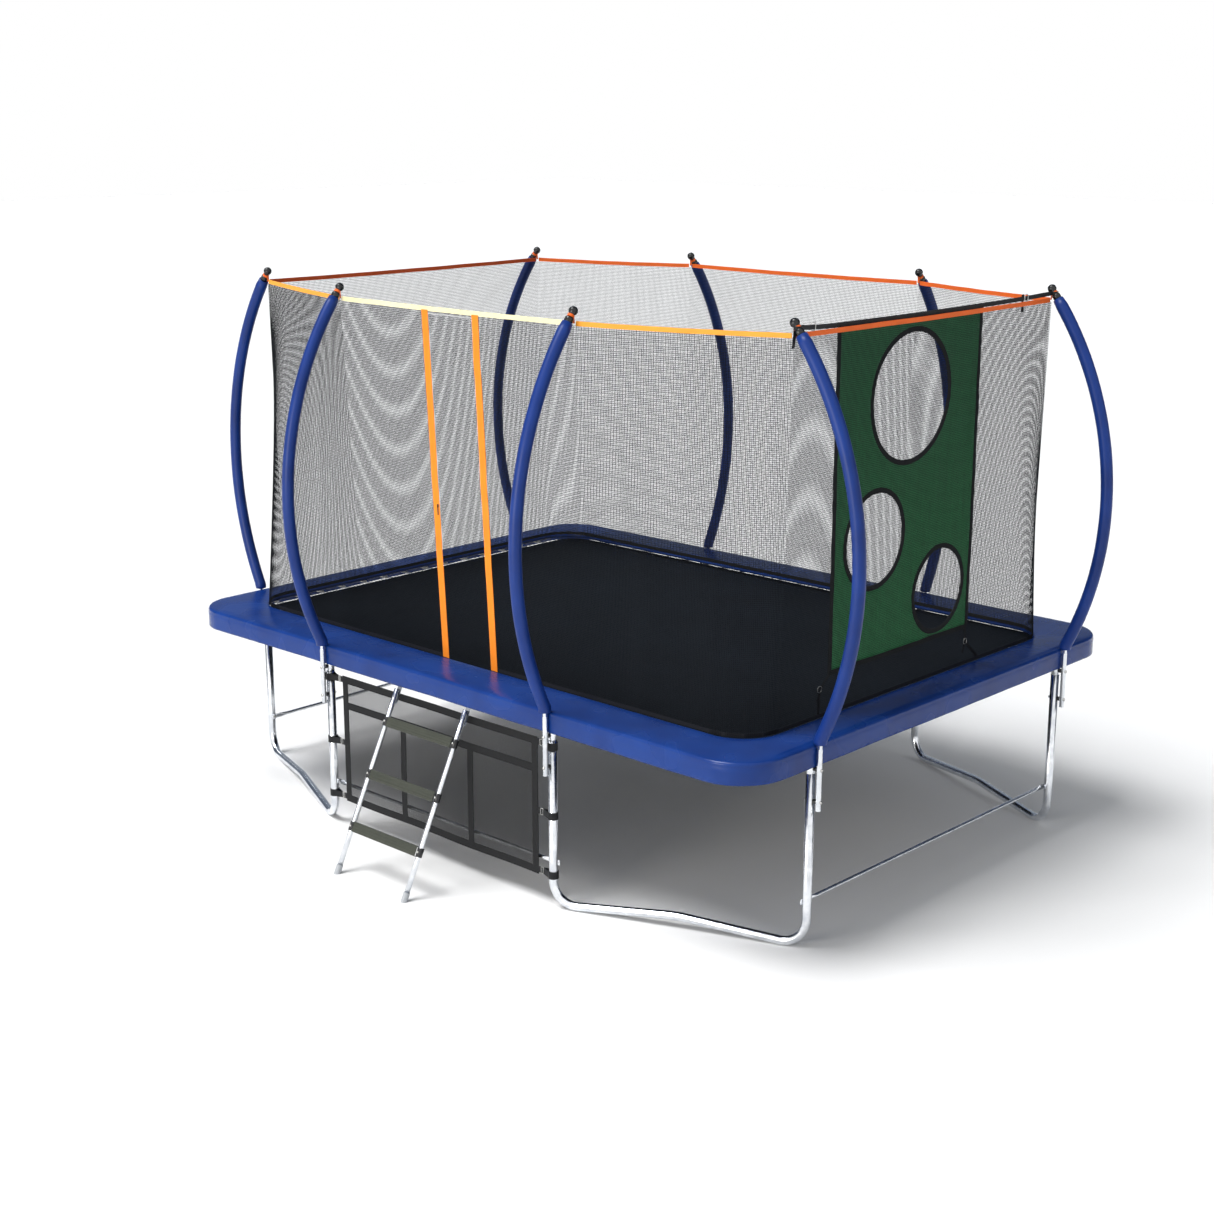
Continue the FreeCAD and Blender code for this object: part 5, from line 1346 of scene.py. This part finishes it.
# Ladder: two 26 mm galvanised tubes on flat steel hooks that hang over the
# front rail. It leans outwards to stand on two plastic foot caps.
LADDER_HALF, LADDER_TUBE, LADDER_START, LADDER_LONG = 0.250, 0.026, 0.078, 0.937
LADDER_LEAN = math.radians(26)
ladder_axis = TUBE / 2 + SEAT - LADDER_TUBE / 2 - 0.0001
ladder_place = (Matrix.Translation(middle + Vector((0, -half_width, RAIL_Z)))
                @ Matrix.Rotation(-LADDER_LEAN, 4, "X"))


def on_ladder(shape):
    """Points of a piece drawn as if the ladder hung straight down, put where they stand."""
    points, faces = shape
    return [ladder_place @ Vector(p) for p in points], faces


rails = []
for side in (-1, 1):
    x = side * LADDER_HALF
    path = [Vector((x, ladder_axis, -LADDER_START - LADDER_LONG * n / 4)) for n in range(5)]
    rails.append(on_ladder(sweep(path, LADDER_TUBE / 2, 28)))
piece = build("ladder_tubes", *gather(rails), galvanised)
dress(piece, "ladder_rails", "ladder")
finish_solid("ladder_hooks", galvanised)

# Treads: pressed steel channels, powder-coated olive grey, with three raised
# ribs along the face that a foot meets. A clamp at each end holds them.
olive, tree, output = new_material("olive_grey_powder_coat")
place = add_node(tree, "ShaderNodeTexCoord")
orange_peel = add_node(tree, "ShaderNodeTexNoise",
                       {"Vector": place.outputs["Object"], "Scale": 350.0, "Detail": 2.0})
bump = add_node(tree, "ShaderNodeBump", {"Height": orange_peel.outputs["Fac"], "Strength": 0.2,
                                         "Distance": 0.0005})
dust = add_node(tree, "ShaderNodeTexNoise", {"Vector": place.outputs["Object"], "Scale": 14.0, "Detail": 4.0})
tone = add_node(tree, "ShaderNodeValToRGB", {"Fac": dust.outputs["Fac"]})
set_tones(tone, "#2d3029", "#41443a")
coat = add_node(tree, "ShaderNodeBsdfPrincipled", {
    "Base Color": tone.outputs["Color"], "Roughness": 0.42, "Normal": bump.outputs["Normal"]})
tree.links.new(coat.outputs[0], output.inputs["Surface"])
TREAD_FACE, TREAD_DEEP, TREAD_SHEET = 0.050, 0.026, 0.002
TREAD_DROPS = (0.247, 0.517, 0.787)
CLAMP_TALL, CLAMP_WALL = 0.045, 0.003
clamp_outer = LADDER_TUBE / 2 + SEAT + CLAMP_WALL
tread_half = LADDER_HALF - clamp_outer - SEAT
front = ladder_axis - TREAD_DEEP / 2
face, wall, round_off = TREAD_FACE / 2, TREAD_SHEET, 0.004
def edge_round(level, start):
    """A round edge of the tread's face, from a start angle in degrees."""
    angles = [math.radians(start - 18 * n) for n in range(6)]
    return [(front + round_off + round_off * math.cos(a), level + round_off * math.sin(a)) for a in angles]


outer_profile = [(front + TREAD_DEEP, -face)] + edge_round(-face + round_off, -90)
for rib in (-0.014, 0.0, 0.014):
    outer_profile += [(front, rib - 0.003), (front - 0.0012, rib - 0.0015),
                      (front - 0.0012, rib + 0.0015), (front, rib + 0.003)]
outer_profile += edge_round(face - round_off, 180) + [(front + TREAD_DEEP, face)]
inner_profile = [(front + TREAD_DEEP, face - wall), (front + wall + 0.002, face - wall),
                 (front + wall, face - wall - 0.002),
                 (front + wall, -face + wall + 0.002), (front + wall + 0.002, -face + wall),
                 (front + TREAD_DEEP, -face + wall)]
profile = outer_profile + inner_profile
treads, clamps, bolts = [], [], []
for drop in TREAD_DROPS:
    points = [Vector((x, y, z - drop)) for x in (-tread_half, tread_half) for y, z in profile]
    treads.append(on_ladder((points, ring_faces(2, len(profile)))))
    for side in (-1, 1):
        x = side * LADDER_HALF
        half_tall = CLAMP_TALL / 2
        rings = [(clamp_outer - 0.0012, -half_tall), (clamp_outer, -half_tall + 0.0012),
                 (clamp_outer, half_tall - 0.0012),
                 (clamp_outer - 0.0012, half_tall), (LADDER_TUBE / 2, half_tall),
                 (LADDER_TUBE / 2, -half_tall)]
        points = []
        for radius, level in rings:
            points += circle(Vector((x, ladder_axis, level - drop)), radius, TUBE_SIDES)
        clamps.append(on_ladder((points, ring_faces(len(rings), TUBE_SIDES, closed=True))))
        spot = Vector((x, ladder_axis - clamp_outer - SEAT, -drop))
        bolts.append(on_ladder(turned_part([(0.0052, -0.001), (0.0052, 0.0015), (0.0045, 0.003),
                                            (0.002, 0.004)], spot, (0, -1, 0), 16)))
for side in (-1, 1):
    for level in (LADDER_START + 0.016, 0.150 - 0.016):
        spot = Vector((side * LADDER_HALF, TUBE / 2 + 2 * SEAT + 0.003, -level))
        bolts.append(on_ladder(nut_part(spot, (0, 1, 0), 0.0125, 0.006)))
piece = made_outward(build("ladder_tread_channels", *gather(treads), olive, smooth=False))
dress(piece, "ladder_treads", "ladder")
piece = made_outward(build("ladder_tread_clamps", *gather(clamps), black_plastic))
dress(piece, "ladder_clamps", "ladder")
piece = build("ladder_bolt_heads", *gather(bolts), zinc)
dress(piece, "ladder_bolts", "ladder")

# Foot caps: pale grey moulded cups pushed on the ladder's tubes.
end_cap, tree, output = new_material("pale_grey_moulded_polyethylene")
place = add_node(tree, "ShaderNodeTexCoord")
scuffs = add_node(tree, "ShaderNodeTexNoise",
                  {"Vector": place.outputs["Object"], "Scale": 180.0, "Detail": 2.0})
rough = add_node(tree, "ShaderNodeMapRange", {"Value": scuffs.outputs["Fac"], "To Min": 0.35, "To Max": 0.6})
moulded = add_node(tree, "ShaderNodeBsdfPrincipled", {
    "Base Color": linear("#a9adb2"), "Roughness": rough.outputs["Result"], "IOR": 1.51})
tree.links.new(moulded.outputs[0], output.inputs["Surface"])
finish_solid("ladder_feet", end_cap)


low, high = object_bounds()
